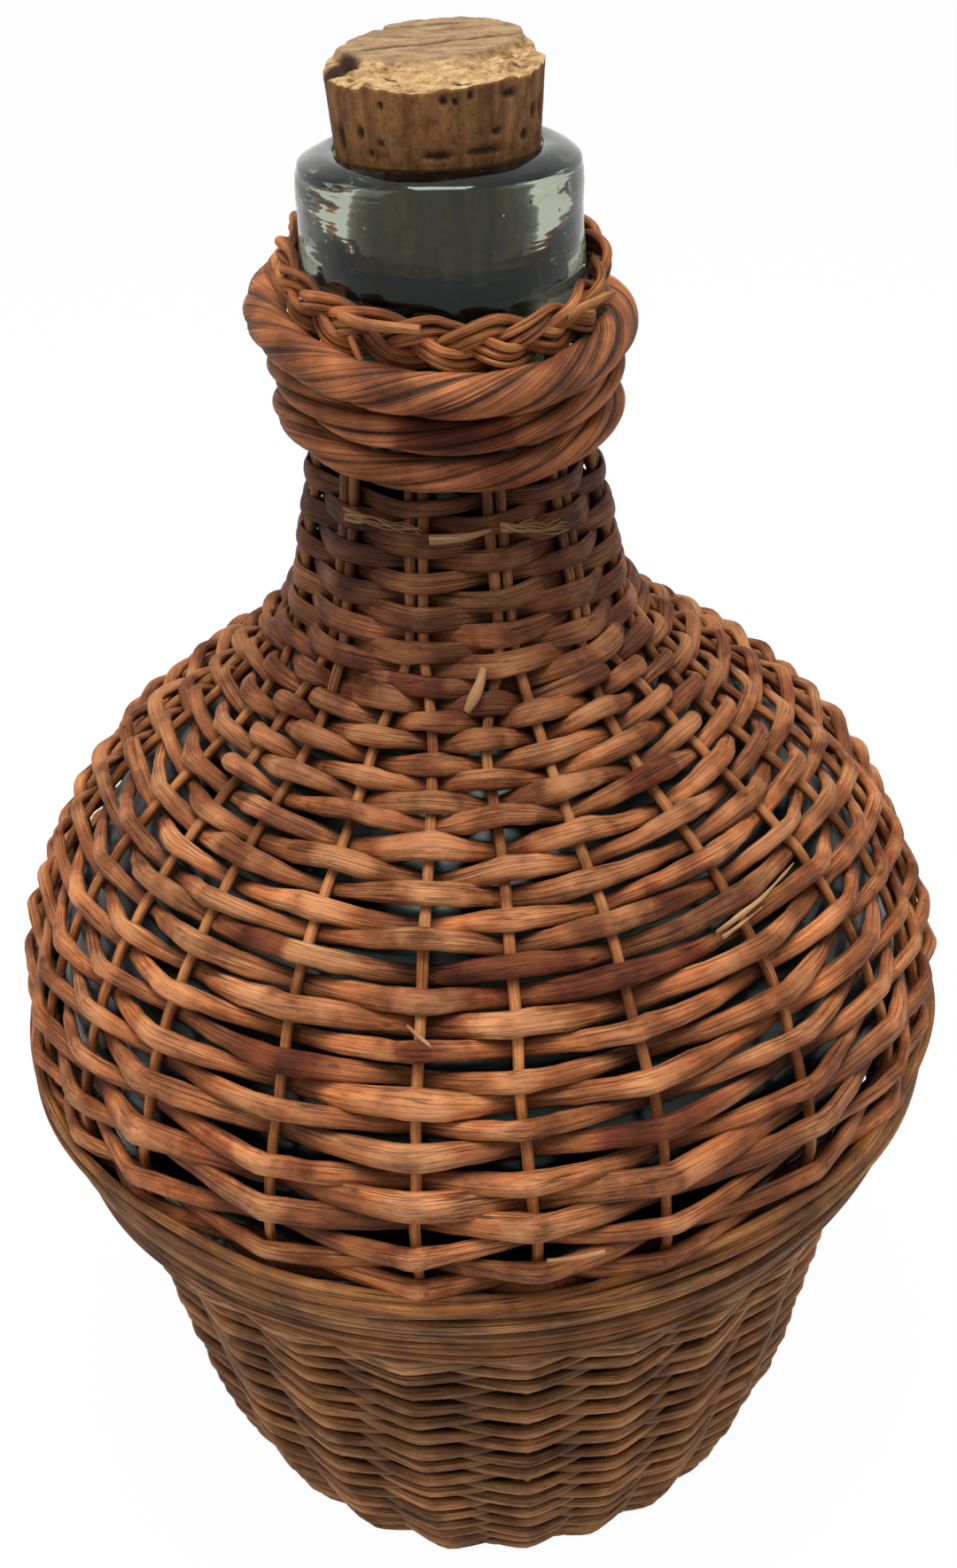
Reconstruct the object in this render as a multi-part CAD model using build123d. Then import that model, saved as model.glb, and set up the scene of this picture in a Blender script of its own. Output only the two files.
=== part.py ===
from build123d import *
import os
from math import atan2, ceil, cos, degrees, pi, radians, sin, sqrt, tan

# A wicker-covered demijohn with a cork. Millimetres, +Z up, origin at the centre of the foot.
# Azimuth 0 is the front (-Y), and azimuths grow towards +X.

# Glass bottle
glass_height = 343.0            # glass base to lip
belly_radius = 104.0
belly_height = 154.0            # glass base to the widest place
neck_radius = 23.3
neck_height = 290.0             # glass base to where the neck runs straight
glass_wall = 3.2
base_ring_inner = 45.0          # flat ring that the glass stands on
base_ring_outer = 52.3
punt_depth = 12.0
punt_round_share = 0.75         # height of the punt halfway out
collar_height = 31.0
collar_radius = 28.0            # at the lip
collar_flare = 0.9              # the collar is this much wider at its foot
collar_foot_slope = 3.5         # height of the step from neck to collar
lip_round = 3.0
lining_steps = 12               # points that the inside of the glass is drawn through
bore_radius = 18.6
bore_mouth_radius = 20.1
bore_taper_length = 25.0

# The belly's outline from the belly up to the neck, then from the belly down to the heel:
# height as a share of the climb or drop, radius as a share of the way out from the neck or axis
upper_outline_shares = ((0.119, 0.947), (0.244, 0.840), (0.377, 0.641), (0.493, 0.372), (0.608, 0.166),
                        (0.700, 0.089), (0.800, 0.051), (0.905, 0.012), (0.975, 0.0005), (1.0, 0.0))
lower_outline_shares = ((0.893, 0.980), (0.780, 0.935), (0.669, 0.890), (0.531, 0.852), (0.361, 0.811),
                        (0.190, 0.758), (0.091, 0.707))

# Cork
cork_out = 21.3                 # stands out of the lip before its top is cut slanting
cork_slant = 8.0                # degrees that its top falls towards the front
cork_in = 25.0                  # sits in the bore
cork_top_radius = 21.6
cork_slip = 0.08                # radial clearance in the bore
cork_edge = 0.8

# Woven cover
stake_count = 24
stake_diameter = 2.3
neck_rod = 2.4                  # weaver thickness on the neck
belly_rod = 3.4                 # weaver thickness on the belly
row_gap = 1.5                   # between one row and the next
slip = 0.2                      # between pieces that cross
glass_gap = 0.4                 # between the glass and what lies on it
first_row_drop = 10.0           # neck's foot to the first row, down the glass
fan_start = 40.0                # the pairs of stakes part here, down the glass from the neck's foot
fan_length = 26.0
single_row_share = 0.97         # rows weave round single stakes once the pairs have parted this far
belly_rows_below = 10.0         # the rows go on this far below the widest place
stake_top_clearance = 1.0       # below the plait
stake_foot = 30.0               # stakes run this far down behind the belt
stake_foot_shares = (0.2, 0.45, 0.7, 1.0)
least_bend = 0.8                # degrees: a rod runs straight through a smaller bend
search_step = 0.002             # how finely a place down the glass is found

# Belt
belt_rod = 4.3
belt_rows = 6
belt_gap = 0.35

# Lower basket
basket_wall = 3.8
basket_row = 4.8                # height of one row of the dense weave
basket_row_bulge = 0.8
basket_rim_gap = 2.0            # below the belt
lower_stake_rise = 12.0         # the lower stakes stand this far above the basket's rim
lower_stake_steps = 14

# Foot and base
foot_tube = 3.7                 # radius of the rolled edge
foot_flat = 0.5                 # worn flat where it stands
disc_room = 3.7                 # between the base and the rolled edge
base_clearance = 0.8            # base sticks to the floor
base_sticks = 5                 # in each of the two crossed layers
base_disc_radius = 59.0
base_disc_thickness = 3.8
base_ring_width = 4.2           # one round of the base weave
base_ring_bulge = 0.7

# Plaited ring round the foot of the collar
plait_strand = 2.0
plait_width = 2.9               # half of the strands' swing up and down
plait_depth = 1.5               # half of the strands' swing in and out
plait_repeats = 9
plait_rise = 4.7                # collar's foot slope to the middle of the plait, upwards
plait_sag = 6.0                 # the front hangs this much lower than the sides
plait_tilt = 1.9                # the left side stands this much higher
plait_steps = 12                # straight runs in one repeat

# Thick twisted rod wound on the neck, one entry for each eighth of a turn from the back left:
# height above the glass base, and how far it stands off its closest radius
rope_diameter = 7.5
rope_start = -157.5             # azimuth
rope_step = 45.0
gap_samples = 420               # points along the rope where its gaps are measured
gap_reach = 26.0                # nearer than this along the rope isn't a gap to itself
rope_eighths = ((323.4, 6.2), (314.1, 4.9), (311.2, 2.5), (306.8, 1.5), (304.8, 1.1), (307.2, 1.3),
                (308.8, 1.5), (307.4, 1.5), (304.8, 1.5), (303.1, 1.7), (302.0, 1.5), (297.6, 1.1),
                (296.6, 0.9), (299.1, 1.0), (300.0, 1.1), (298.8, 1.1), (296.4, 1.1), (294.8, 1.2),
                (293.4, 1.1), (289.5, 0.9), (288.6, 0.8), (291.0, 0.8), (290.8, 0.9), (290.0, 0.9))

# Worked out from the above
stake_radius = stake_diameter / 2
foot_centre = foot_tube - foot_flat
foot_radius = base_disc_radius + disc_room + foot_tube
lower_stick_height = base_clearance + stake_radius
upper_stick_height = lower_stick_height + stake_diameter + slip
disc_bottom = upper_stick_height + stake_radius + slip
glass_base = disc_bottom + base_disc_thickness + slip
lip_height = glass_base + glass_height
neck_foot = glass_base + neck_height
collar_foot = lip_height - collar_height
pair_step = 720.0 / stake_count
even_spread = pair_step / 4


def on_section(radius, height):
    """A point of the section in the XZ plane."""
    return Vector(radius, 0, height)


def around(radius, azimuth, height):
    """A point at an azimuth round the axis."""
    angle = radians(azimuth)
    return Vector(radius * sin(angle), -radius * cos(angle), height)


def glass_outline():
    """The outside of the glass from the neck's foot down to the heel."""
    climb = neck_height - belly_height
    swell = belly_radius - neck_radius
    points = [on_section(neck_radius + swell * out, glass_base + belly_height + climb * up)
              for up, out in reversed(upper_outline_shares)]
    points.append(on_section(belly_radius, glass_base + belly_height))
    points += [on_section(belly_radius * out, glass_base + belly_height * up)
               for up, out in lower_outline_shares]
    return Spline(*points)


outline = glass_outline()
outline_length = outline.length


def cover_point(distance, offset):
    """Radius and height at a distance down the glass from the neck's foot, moved off the glass."""
    inside = min(max(distance, 0.0), outline_length)
    place = outline.position_at(inside, position_mode=PositionMode.LENGTH)
    way = outline.tangent_at(inside, position_mode=PositionMode.LENGTH)
    beyond = distance - inside
    radius = place.X + way.X * beyond - way.Z * offset
    height = place.Z + way.Z * beyond + way.X * offset
    return radius, height


def distance_at(height, offset):
    """The distance down the glass where the cover at this offset is at this height."""
    low, high = neck_foot - lip_height, 2 * outline_length
    while high - low > search_step:
        middle = (low + high) / 2
        if cover_point(middle, offset)[1] > height:
            low = middle
        else:
            high = middle
    return low


def swept_rod(points, diameter, closed=False):
    """A round rod along straight runs with mitred corners."""
    if closed:
        seam = (points[0] + points[-1]) * 0.5
        points = [seam] + points + [seam]
    corners = [points[0]]
    for point, after in zip(points[1:], points[2:]):
        if (after - point).get_angle(point - corners[-1]) > least_bend:
            corners.append(point)
    path = Polyline(*corners, points[-1])
    section = Plane(origin=path @ 0, z_dir=path % 0) * Circle(diameter / 2)
    return sweep(section, path=path, transition=Transition.RIGHT)


def write(name, shape):
    """One sub-part in its own file."""
    shape.label = name
    export_step(shape, "parts/" + name + ".step")


# Glass bottle and cork

def glass_bottle():
    """Hollow blown bottle with a punt, a thick collar and a tapered bore mouth."""
    heel = cover_point(outline_length, 0.0)
    collar_wide = collar_radius + collar_flare
    bore_foot = on_section(bore_radius, neck_foot)
    taper_foot = on_section(bore_radius, lip_height - bore_taper_length)
    outside = [
        ThreePointArc(on_section(0, glass_base + punt_depth),
                      on_section(base_ring_inner / 2, glass_base + punt_depth * punt_round_share),
                      on_section(base_ring_inner, glass_base)),
        Line(on_section(base_ring_inner, glass_base), on_section(base_ring_outer, glass_base)),
        TangentArc(on_section(base_ring_outer, glass_base), on_section(*heel), tangent=(1, 0, 0)),
        outline,
        Line(on_section(neck_radius, neck_foot), on_section(neck_radius, collar_foot)),
        Line(on_section(neck_radius, collar_foot), on_section(collar_wide, collar_foot + collar_foot_slope)),
        Line(on_section(collar_wide, collar_foot + collar_foot_slope),
             on_section(collar_radius, lip_height - lip_round)),
        TangentArc(on_section(collar_radius, lip_height - lip_round),
                   on_section(collar_radius - lip_round, lip_height), tangent=(0, 0, 1)),
        Line(on_section(collar_radius - lip_round, lip_height), on_section(bore_mouth_radius, lip_height)),
    ]
    lining = [bore_foot]
    for step in range(1, lining_steps + 1):
        share = step / lining_steps
        wall = glass_wall + (neck_radius - bore_radius - glass_wall) * (1 - share) ** 2
        lining.append(on_section(*cover_point(outline_length * share, -wall)))
    floor_edge = on_section(base_ring_outer - glass_wall, glass_base + 2 * glass_wall)
    inside = [
        Line(on_section(bore_mouth_radius, lip_height), taper_foot),
        Line(taper_foot, bore_foot),
        Spline(*lining),
        Line(lining[-1], floor_edge),
        Line(floor_edge, on_section(0, glass_base + punt_depth + glass_wall)),
        Line(on_section(0, glass_base + punt_depth + glass_wall), on_section(0, glass_base + punt_depth)),
    ]
    return revolve(make_face(outside + inside), Axis.Z)


def cork():
    """Tapered cork, wider at its slanting top, in the bore's tapered mouth."""
    taper = (bore_mouth_radius - bore_radius) / bore_taper_length
    low_radius = bore_mouth_radius - taper * cork_in - cork_slip
    waist = bore_mouth_radius - cork_slip
    low, high = lip_height - cork_in, lip_height + cork_out
    section = make_face(Polyline(
        on_section(0, low), on_section(low_radius - cork_edge, low), on_section(low_radius, low + cork_edge),
        on_section(waist, lip_height), on_section(cork_top_radius, high), on_section(0, high), close=True))
    fall = cork_top_radius * tan(radians(cork_slant))
    room = 4 * cork_top_radius
    above = Pos(0, 0, high - cork_edge - fall) * Rot(cork_slant, 0, 0) * Pos(0, 0, room / 2) * Box(room, room, room)
    return revolve(section, Axis.Z) - above


# Woven cover

def fan_share(distance):
    """0 where the stakes stand in close pairs, 1 where they are evenly spaced."""
    share = min(max((distance - fan_start) / fan_length, 0.0), 1.0)
    return share * share * (3 - 2 * share)


def rod_at(distance):
    """Weaver thickness: thin on the neck, full on the belly."""
    return neck_rod + (belly_rod - neck_rod) * fan_share(distance)


def stake_spread(distance, radius):
    """Half the angle between the two stakes of a pair, in degrees."""
    close = degrees((stake_diameter + slip) / 2 / radius)
    return close + (even_spread - close) * fan_share(distance)


def weave_slope(distance, rod):
    """The steepest angle that a row makes as it crosses from outside one stake to inside the next."""
    radius = cover_point(distance, glass_gap + rod + stake_radius)[0]
    spread = stake_spread(distance, radius)
    step = pair_step - 2 * spread
    if fan_share(distance) > single_row_share:
        step = min(step, 2 * spread)
    crossing = radius * radians(step)
    return degrees(atan2(rod + stake_diameter + 2 * slip, crossing)), step


def stake_offset(distance):
    """How far the stakes' centres stand off the glass, so that a row passes behind them."""
    rod = rod_at(distance)
    slope, _ = weave_slope(distance, rod)
    return glass_gap + rod / 2 + (rod / 2 + slip + stake_radius) / cos(radians(slope))


def row_distances():
    """Where each row lies, down the glass from the neck's foot."""
    belt_top = distance_at(glass_base + belly_height - belly_rows_below, stake_offset(outline_length / 2))
    distances = []
    distance = first_row_drop
    while distance < belt_top:
        distances.append(distance)
        distance += rod_at(distance) + row_gap
    return distances


def woven_row(distance, parity):
    """One closed row, passing outside and inside the stakes by turns."""
    rod = rod_at(distance)
    centre_offset = stake_offset(distance)
    slope, step = weave_slope(distance, rod)
    reach = rod / 2 + slip + stake_radius
    outer = centre_offset + reach / cos(radians(slope + step / 2))
    inner = centre_offset - reach / cos(radians(slope))
    radius = cover_point(distance, centre_offset)[0]
    spread = stake_spread(distance, radius)
    singles = fan_share(distance) > single_row_share
    points = []
    for pair in range(stake_count // 2):
        for side in (0, 1):
            turn = 2 * pair + side if singles else pair
            offset = outer if (turn + parity) % 2 == 0 else inner
            azimuth = (pair + 0.5) * pair_step + (2 * side - 1) * spread
            row_radius, height = cover_point(distance, offset)
            points.append(around(row_radius, azimuth, height))
    return swept_rod(points, rod, closed=True)


def stake(pair, side, distances, top_height):
    """One upright stake from under the plait to behind the belt."""
    top = distance_at(top_height, stake_offset(0.0))
    places = [top] + distances + [distances[-1] + stake_foot * share for share in stake_foot_shares]
    points = []
    for distance in places:
        radius, height = cover_point(distance, stake_offset(distance))
        spread = stake_spread(distance, radius)
        azimuth = (pair + 0.5) * pair_step + (2 * side - 1) * spread
        points.append(around(radius, azimuth, height))
    return swept_rod(points, stake_diameter)


def ring(radius, height, tube):
    """A closed round rod in a level plane."""
    return Pos(0, 0, height) * Torus(radius, tube)


# Lower basket

def basket(rim, foot):
    """The dense woven wall: rows bulge outwards, and the inside is smooth."""
    inner = glass_gap + stake_diameter + slip
    outer = inner + basket_wall
    rows = round((foot - rim) / basket_row)
    edges = []
    for row in range(rows):
        start, end = rim + (foot - rim) * row / rows, rim + (foot - rim) * (row + 1) / rows
        edges.append(ThreePointArc(on_section(*cover_point(start, outer - basket_row_bulge)),
                                   on_section(*cover_point((start + end) / 2, outer)),
                                   on_section(*cover_point(end, outer - basket_row_bulge))))
    back = [on_section(*cover_point(foot + (rim - foot) * row / rows, inner)) for row in range(rows + 1)]
    edges.append(Line(edges[-1] @ 1, back[0]))
    edges.append(Polyline(*back))
    edges.append(Line(back[-1], edges[0] @ 0))
    return revolve(make_face(edges), Axis.Z)


def lower_stake(azimuth, top, foot):
    """One upright inside the basket wall."""
    points = []
    for step in range(lower_stake_steps + 1):
        radius, height = cover_point(top + (foot - top) * step / lower_stake_steps, glass_gap + stake_radius)
        points.append(around(radius, azimuth, height))
    return swept_rod(points, stake_diameter)


def foot_border():
    """The rolled edge that the basket stands on, cut flat at the floor."""
    whole = ring(foot_radius, foot_centre, foot_tube)
    room = foot_radius + 2 * foot_tube
    return whole & Pos(0, 0, room / 2) * Cylinder(room, room)


def base_disc():
    """Woven rounds under the glass, bulging downwards."""
    rounds = round(base_disc_radius / base_ring_width)
    width = base_disc_radius / rounds
    top = disc_bottom + base_disc_thickness
    edges = [ThreePointArc(on_section(width * index, disc_bottom + base_ring_bulge),
                           on_section(width * (index + 0.5), disc_bottom),
                           on_section(width * (index + 1), disc_bottom + base_ring_bulge))
             for index in range(rounds)]
    edges.append(Polyline(edges[-1] @ 1, on_section(base_disc_radius, top), on_section(0, top), edges[0] @ 0))
    return revolve(make_face(edges), Axis.Z)


def base_stick_layer(height, turn):
    """Parallel sticks across the base, each as long as the foot border leaves room for."""
    room = foot_radius - foot_tube - slip
    sticks = []
    for index in range(base_sticks):
        aside = (index - (base_sticks - 1) / 2) * (stake_diameter + slip)
        half = sqrt(room ** 2 - (abs(aside) + stake_radius) ** 2)
        stick = Pos(0, aside, height) * Rot(0, 90, 0) * Cylinder(stake_radius, 2 * half)
        sticks.append(Rot(0, 0, turn) * stick)
    return Compound(children=sticks)


# Neck ring and rope

def plait_point(strand, share):
    """A strand's centre at a share of the way round: a figure of eight across the plait."""
    azimuth = 360 * share
    phase = 2 * pi * (plait_repeats * share + strand / 3)
    reach = collar_radius + collar_flare + slip + plait_strand / 2 + plait_depth
    radius = reach + plait_depth * sin(2 * phase)
    middle = collar_foot + collar_foot_slope + plait_rise
    hang = plait_sag * cos(radians(azimuth)) + plait_tilt * sin(radians(azimuth))
    height = middle + plait_width * sin(phase) - hang
    return around(radius, azimuth, height)


def plait_strand_solid(strand):
    """One closed strand of the plait."""
    count = plait_repeats * plait_steps
    return swept_rod([plait_point(strand, index / count) for index in range(count)], plait_strand, closed=True)


def rope_places():
    """The wound rod's centre and direction at each eighth of a turn."""
    close = neck_radius + stake_offset(0.0) + stake_radius + rope_diameter / 2
    places = []
    for index, (height, stand_off) in enumerate(rope_eighths):
        places.append((rope_start + rope_step * index, close + stand_off, glass_base + height))
    nodes = []
    steps = [(after[1] - before[1], after[2] - before[2]) for before, after in zip(places, places[1:])]
    for index, (azimuth, radius, height) in enumerate(places):
        beside = steps[max(index - 1, 0):index + 1]
        widen = sum(step[0] for step in beside) / len(beside)
        climb = sum(step[1] for step in beside) / len(beside)
        onward = around(radius * radians(rope_step), azimuth + 90, 0)
        way = onward + around(1, azimuth, 0) * widen + Vector(0, 0, climb)
        nodes.append((around(radius, azimuth, height), way.normalized()))
    return nodes


def biarc(start, start_way, end, end_way):
    """Two arcs that join two points and match both directions."""
    chord = end - start
    both = start_way + end_way
    turn = 2 * (1 - start_way.dot(end_way))
    along = chord.dot(both)
    reach = (sqrt(along ** 2 + turn * chord.dot(chord)) - along) / turn
    first = start + start_way * reach
    second = end - end_way * reach
    joint = (first + second) * 0.5
    return [TangentArc(start, joint, tangent=start_way), TangentArc(joint, end, tangent=second - first)]


def neck_rope():
    """The thick rod wound on the neck as one unbroken tube, straight for one thickness at each end."""
    nodes = rope_places()
    edges = [Line(nodes[0][0] - nodes[0][1] * rope_diameter, nodes[0][0])]
    for (start, start_way), (end, end_way) in zip(nodes, nodes[1:]):
        edges += biarc(start, start_way, end, end_way)
    edges.append(Line(nodes[-1][0], nodes[-1][0] + nodes[-1][1] * rope_diameter))
    path = Wire(edges)
    print("rope radii", [round(edge.radius, 1) for edge in edges[1:-1]])
    report_gap(path)
    section = Plane(origin=path @ 0, z_dir=path % 0) * Circle(rope_diameter / 2)
    return sweep(section, path=path)


def report_gap(path):
    """Print the rope's least gap to itself and to the plait, measured on points."""
    points = [path @ (index / gap_samples) for index in range(gap_samples + 1)]
    skip = ceil(gap_samples * gap_reach / path.length)
    own = min((start - end).length for index, start in enumerate(points) for end in points[index + skip:])
    samples = plait_repeats * plait_steps
    plait = [plait_point(strand, index / samples) for strand in range(3) for index in range(samples)]
    near = min((point - other).length for point in points for other in plait)
    print("rope least gap to itself", round(own - rope_diameter, 2),
          "to the plait", round(near - rope_diameter / 2 - plait_strand / 2, 2))
    crossing = min((plait_point(0, a / samples) - plait_point(1, b / samples)).length
                   for a in range(samples) for b in range(a - plait_steps, a + plait_steps))
    print("plait least gap between strands", round(crossing - plait_strand, 2))


os.makedirs("parts", exist_ok=True)

write("glass_bottle", glass_bottle())
write("cork", cork())

rows = row_distances()
for number, row in enumerate(rows, start=1):
    share = fan_share(row)
    zone = "neck" if share == 0 else "shoulder" if share < 1 else "belly"
    write("weaver_%02d_%s" % (number, zone), woven_row(row, number))
print("rows", len(rows), "rods", round(rod_at(rows[0]), 2), round(rod_at(rows[-1]), 2))

plait_hang = sqrt(plait_sag ** 2 + plait_tilt ** 2)
plait_foot = collar_foot + collar_foot_slope + plait_rise - plait_hang - plait_width - plait_strand / 2
stakes = [stake(pair, side, rows, plait_foot - stake_top_clearance)
          for pair in range(stake_count // 2) for side in (0, 1)]
write("upper_stakes", Compound(children=stakes))

belt_offset = stake_offset(outline_length / 2) + stake_radius + slip + belt_rod / 2
belt_start = rows[-1] + (belly_rod + belt_rod) / 2 + row_gap
for number in range(belt_rows):
    radius, height = cover_point(belt_start + number * (belt_rod + belt_gap), belt_offset)
    write("belt_rod_%d" % (number + 1), ring(radius, height, belt_rod / 2))

belt_foot = cover_point(belt_start + (belt_rows - 1) * (belt_rod + belt_gap), belt_offset)[1] - belt_rod / 2
basket_outer = glass_gap + stake_diameter + slip + basket_wall
basket_rim = distance_at(belt_foot - basket_rim_gap, basket_outer)
basket_foot = distance_at(foot_centre + foot_tube + slip, basket_outer)
write("basket_wall", basket(basket_rim, basket_foot))
lower_top = basket_rim - lower_stake_rise
lower_foot = distance_at(foot_centre + foot_tube + slip + stake_diameter, glass_gap + stake_radius)
lower = [lower_stake((index + 0.5) * 360 / stake_count, lower_top, lower_foot) for index in range(stake_count)]
write("lower_stakes", Compound(children=lower))
write("foot_border", foot_border())
write("base_disc", base_disc())
write("base_sticks_lower", base_stick_layer(lower_stick_height, 0))
write("base_sticks_upper", base_stick_layer(upper_stick_height, 90))

write("neck_plait", Compound(children=[plait_strand_solid(strand) for strand in range(3)]))
write("neck_rope", neck_rope())
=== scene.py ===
import bpy
import math
import numpy as np
from mathutils import Matrix, Vector, noise


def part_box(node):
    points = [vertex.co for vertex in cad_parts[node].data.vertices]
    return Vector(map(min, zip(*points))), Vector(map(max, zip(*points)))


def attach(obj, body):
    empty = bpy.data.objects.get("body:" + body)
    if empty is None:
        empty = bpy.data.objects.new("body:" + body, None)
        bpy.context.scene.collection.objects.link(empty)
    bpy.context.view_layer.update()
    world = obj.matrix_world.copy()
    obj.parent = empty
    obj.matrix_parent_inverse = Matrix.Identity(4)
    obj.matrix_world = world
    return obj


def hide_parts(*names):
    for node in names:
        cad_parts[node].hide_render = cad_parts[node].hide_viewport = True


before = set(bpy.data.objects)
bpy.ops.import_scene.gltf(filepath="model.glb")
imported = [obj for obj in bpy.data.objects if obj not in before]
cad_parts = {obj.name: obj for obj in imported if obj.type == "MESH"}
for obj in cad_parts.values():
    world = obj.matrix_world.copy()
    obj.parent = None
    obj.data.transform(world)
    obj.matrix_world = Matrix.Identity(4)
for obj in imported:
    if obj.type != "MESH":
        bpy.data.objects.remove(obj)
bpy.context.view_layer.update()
bpy.ops.object.select_all(action="DESELECT")

# Camera, floor and light
# A hand-held view from above and in front, close to the bottle, with the slight lean of the photograph.
# Lengths are metres; the focal length was fitted in pixels of the full picture.
focal_px = 1928
picture_height_px = 1769
camera_place = (0.0021, -0.3464, 0.4307)
camera_pitch = math.radians(33.15)
camera_roll = math.radians(2.67)
near_clip = 0.01
floor_size = 14.0
paper_grey = 0.86               # colour of the floor as the lamps light it
paper_glow = 0.97               # share of plain white in what the camera sees of the floor
room_level = 0.23               # the room's light on the bottle, where the camera sees plain white
lamps_aim = Vector((0, 0, 0.2))
bpy.ops.object.camera_add(location=camera_place)
camera = bpy.context.object
camera.data.lens = camera.data.sensor_width * focal_px / picture_height_px
camera.data.clip_start = near_clip
looking = Matrix.Rotation(math.pi / 2 - camera_pitch, 3, "X") @ Matrix.Rotation(-camera_roll, 3, "Z")
camera.rotation_euler = looking.to_euler()
bpy.context.scene.camera = camera


def feed(node, sockets):
    """Give a node's inputs, by name or number, plain values or other nodes' outputs."""
    for key, value in sockets.items():
        if isinstance(value, bpy.types.NodeSocket):
            node.id_data.links.new(value, node.inputs[key])
        else:
            node.inputs[key].default_value = value


def add_node(tree, kind, sockets=None, **settings):
    """A new shader node with its settings made and its inputs fed."""
    made = tree.nodes.new("ShaderNode" + kind)
    for key, value in settings.items():
        setattr(made, key, value)
    feed(made, sockets or {})
    return made


def maths(tree, kind, first, second):
    """One operation on two values, each a number or a node's output."""
    return add_node(tree, "Math", {0: first, 1: second}, operation=kind).outputs["Value"]


def ranged(tree, value, low, high, to_low=0.0, to_high=1.0, **settings):
    """A value carried from one range to another and held inside it."""
    sockets = {"Value": value, "From Min": low, "From Max": high, "To Min": to_low, "To Max": to_high}
    return add_node(tree, "MapRange", sockets, **settings).outputs["Result"]


def seen_rays(tree):
    """1 for what the camera sees, straight, mirrored or through glass, and 0 for other light."""
    rays = add_node(tree, "LightPath").outputs
    seen = maths(tree, "MAXIMUM", rays["Is Camera Ray"], rays["Is Glossy Ray"])
    return maths(tree, "MAXIMUM", seen, rays["Is Transmission Ray"])


def shaded(name, sockets):
    """A new material, its nodes and its shader, with plain values on the shader's inputs."""
    made = bpy.data.materials.new(name)
    made.use_nodes = True
    shader = made.node_tree.nodes["Principled BSDF"]
    feed(shader, sockets)
    return made, made.node_tree, shader


bpy.ops.mesh.primitive_plane_add(size=floor_size, location=(0, 0, 0))
floor = bpy.context.object
floor.name = "floor"
paper, paper_tree, paper_shader = shaded("pale_paper", {
    "Base Color": (paper_grey, paper_grey, paper_grey, 1), "Roughness": 0.9, "Specular IOR Level": 0.1})
paper_white = add_node(paper_tree, "Emission").outputs["Emission"]
paper_share = maths(paper_tree, "MULTIPLY", seen_rays(paper_tree), paper_glow)
paper_blend = add_node(paper_tree, "MixShader", {"Fac": paper_share, 1: paper_shader.outputs["BSDF"],
                                                  2: paper_white})
feed(paper_tree.nodes["Material Output"], {"Surface": paper_blend.outputs["Shader"]})
floor.data.materials.append(paper)

for lamp_name, place, size, power in (
        ("window_left", (-1.15, -0.55, 1.0), (0.8, 1.2), 6.0),
        ("window_right", (1.2, -0.35, 0.95), (0.7, 1.2), 3.8),
        ("ceiling", (0.0, -0.26, 2.1), (1.0, 1.0), 48.0)):
    bpy.ops.object.light_add(type="AREA", location=place)
    lamp = bpy.context.object
    lamp.name = lamp_name
    lamp.data.shape = "RECTANGLE"
    lamp.data.size, lamp.data.size_y = size
    lamp.data.energy = power
    lamp.rotation_euler = (lamps_aim - Vector(place)).to_track_quat("-Z", "Y").to_euler()

world = bpy.data.worlds.new("soft_room")
bpy.context.scene.world = world
world.use_nodes = True
room_light = ranged(world.node_tree, seen_rays(world.node_tree), 0.0, 1.0, room_level)
feed(world.node_tree.nodes["Background"], {"Color": (1.0, 1.0, 1.0, 1), "Strength": room_light})
bpy.context.scene.view_settings.view_transform = "Standard"

# Glass bottle
# A hand-blown demijohn of thick green glass: round belly, narrow neck, and a heavy collar that was laid
# on hot and tooled round the mouth. The outline is drawn as a smooth curve and spun about the axis.
glass_low, glass_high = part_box("glass_bottle")
glass_tall = glass_high.z - glass_low.z
belly_height = 0.449 * glass_tall
neck_foot = 0.8455 * glass_tall
belly_radius = glass_high.x
neck_radius = 0.0233
bore_radius = 0.0186
mouth_radius = 0.0202
wall = 0.0032
lip_reach = 0.0075              # the tooled lip's ridges start this far below the top
glass_turns = 144               # flat faces round the bottle
# the belly's tint is near black: painted shade for the dark inside of the wicker-covered belly; the collar's
# is the glass's green
belly_painted_shade_tint = (0.034, 0.050, 0.036, 1)
collar_tint = (0.41, 0.45, 0.345, 1)
shoulder_shares = ((0.119, 0.947), (0.244, 0.840), (0.377, 0.641), (0.493, 0.372), (0.608, 0.166),
                   (0.700, 0.089), (0.800, 0.051), (0.905, 0.012), (1.0, 0.0))
belly_shares = ((0.091, 0.707), (0.190, 0.758), (0.361, 0.811), (0.531, 0.852), (0.669, 0.890),
                (0.780, 0.935), (0.893, 0.980), (1.0, 1.0))


def between(t, start, start_way, end, end_way, span=1.0):
    """A place at t, from 0 to 1, on the smooth curve that leaves start and reaches end in the ways given."""
    return ((2 * t ** 3 - 3 * t ** 2 + 1) * start + (t ** 3 - 2 * t ** 2 + t) * span * start_way
            + (3 * t ** 2 - 2 * t ** 3) * end + (t ** 3 - t ** 2) * span * end_way)


def smooth_outline(points, steps):
    """Radius and height along a curve that passes through every point."""
    points = np.array(points)
    knots = np.concatenate([[0.0], np.cumsum(np.linalg.norm(np.diff(points, axis=0), axis=1))])
    ways = np.gradient(points, knots, axis=0)
    drawn = []
    for start in range(len(points) - 1):
        span = knots[start + 1] - knots[start]
        for t in np.linspace(0, 1, steps, endpoint=False):
            drawn.append(between(t, points[start], ways[start], points[start + 1], ways[start + 1], span))
    return np.array(drawn + [points[-1]])


def picked(pieces):
    """Select these pieces alone, the first as the active one."""
    bpy.ops.object.select_all(action="DESELECT")
    for piece in pieces:
        piece.select_set(True)
    bpy.context.view_layer.objects.active = pieces[0]


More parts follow.
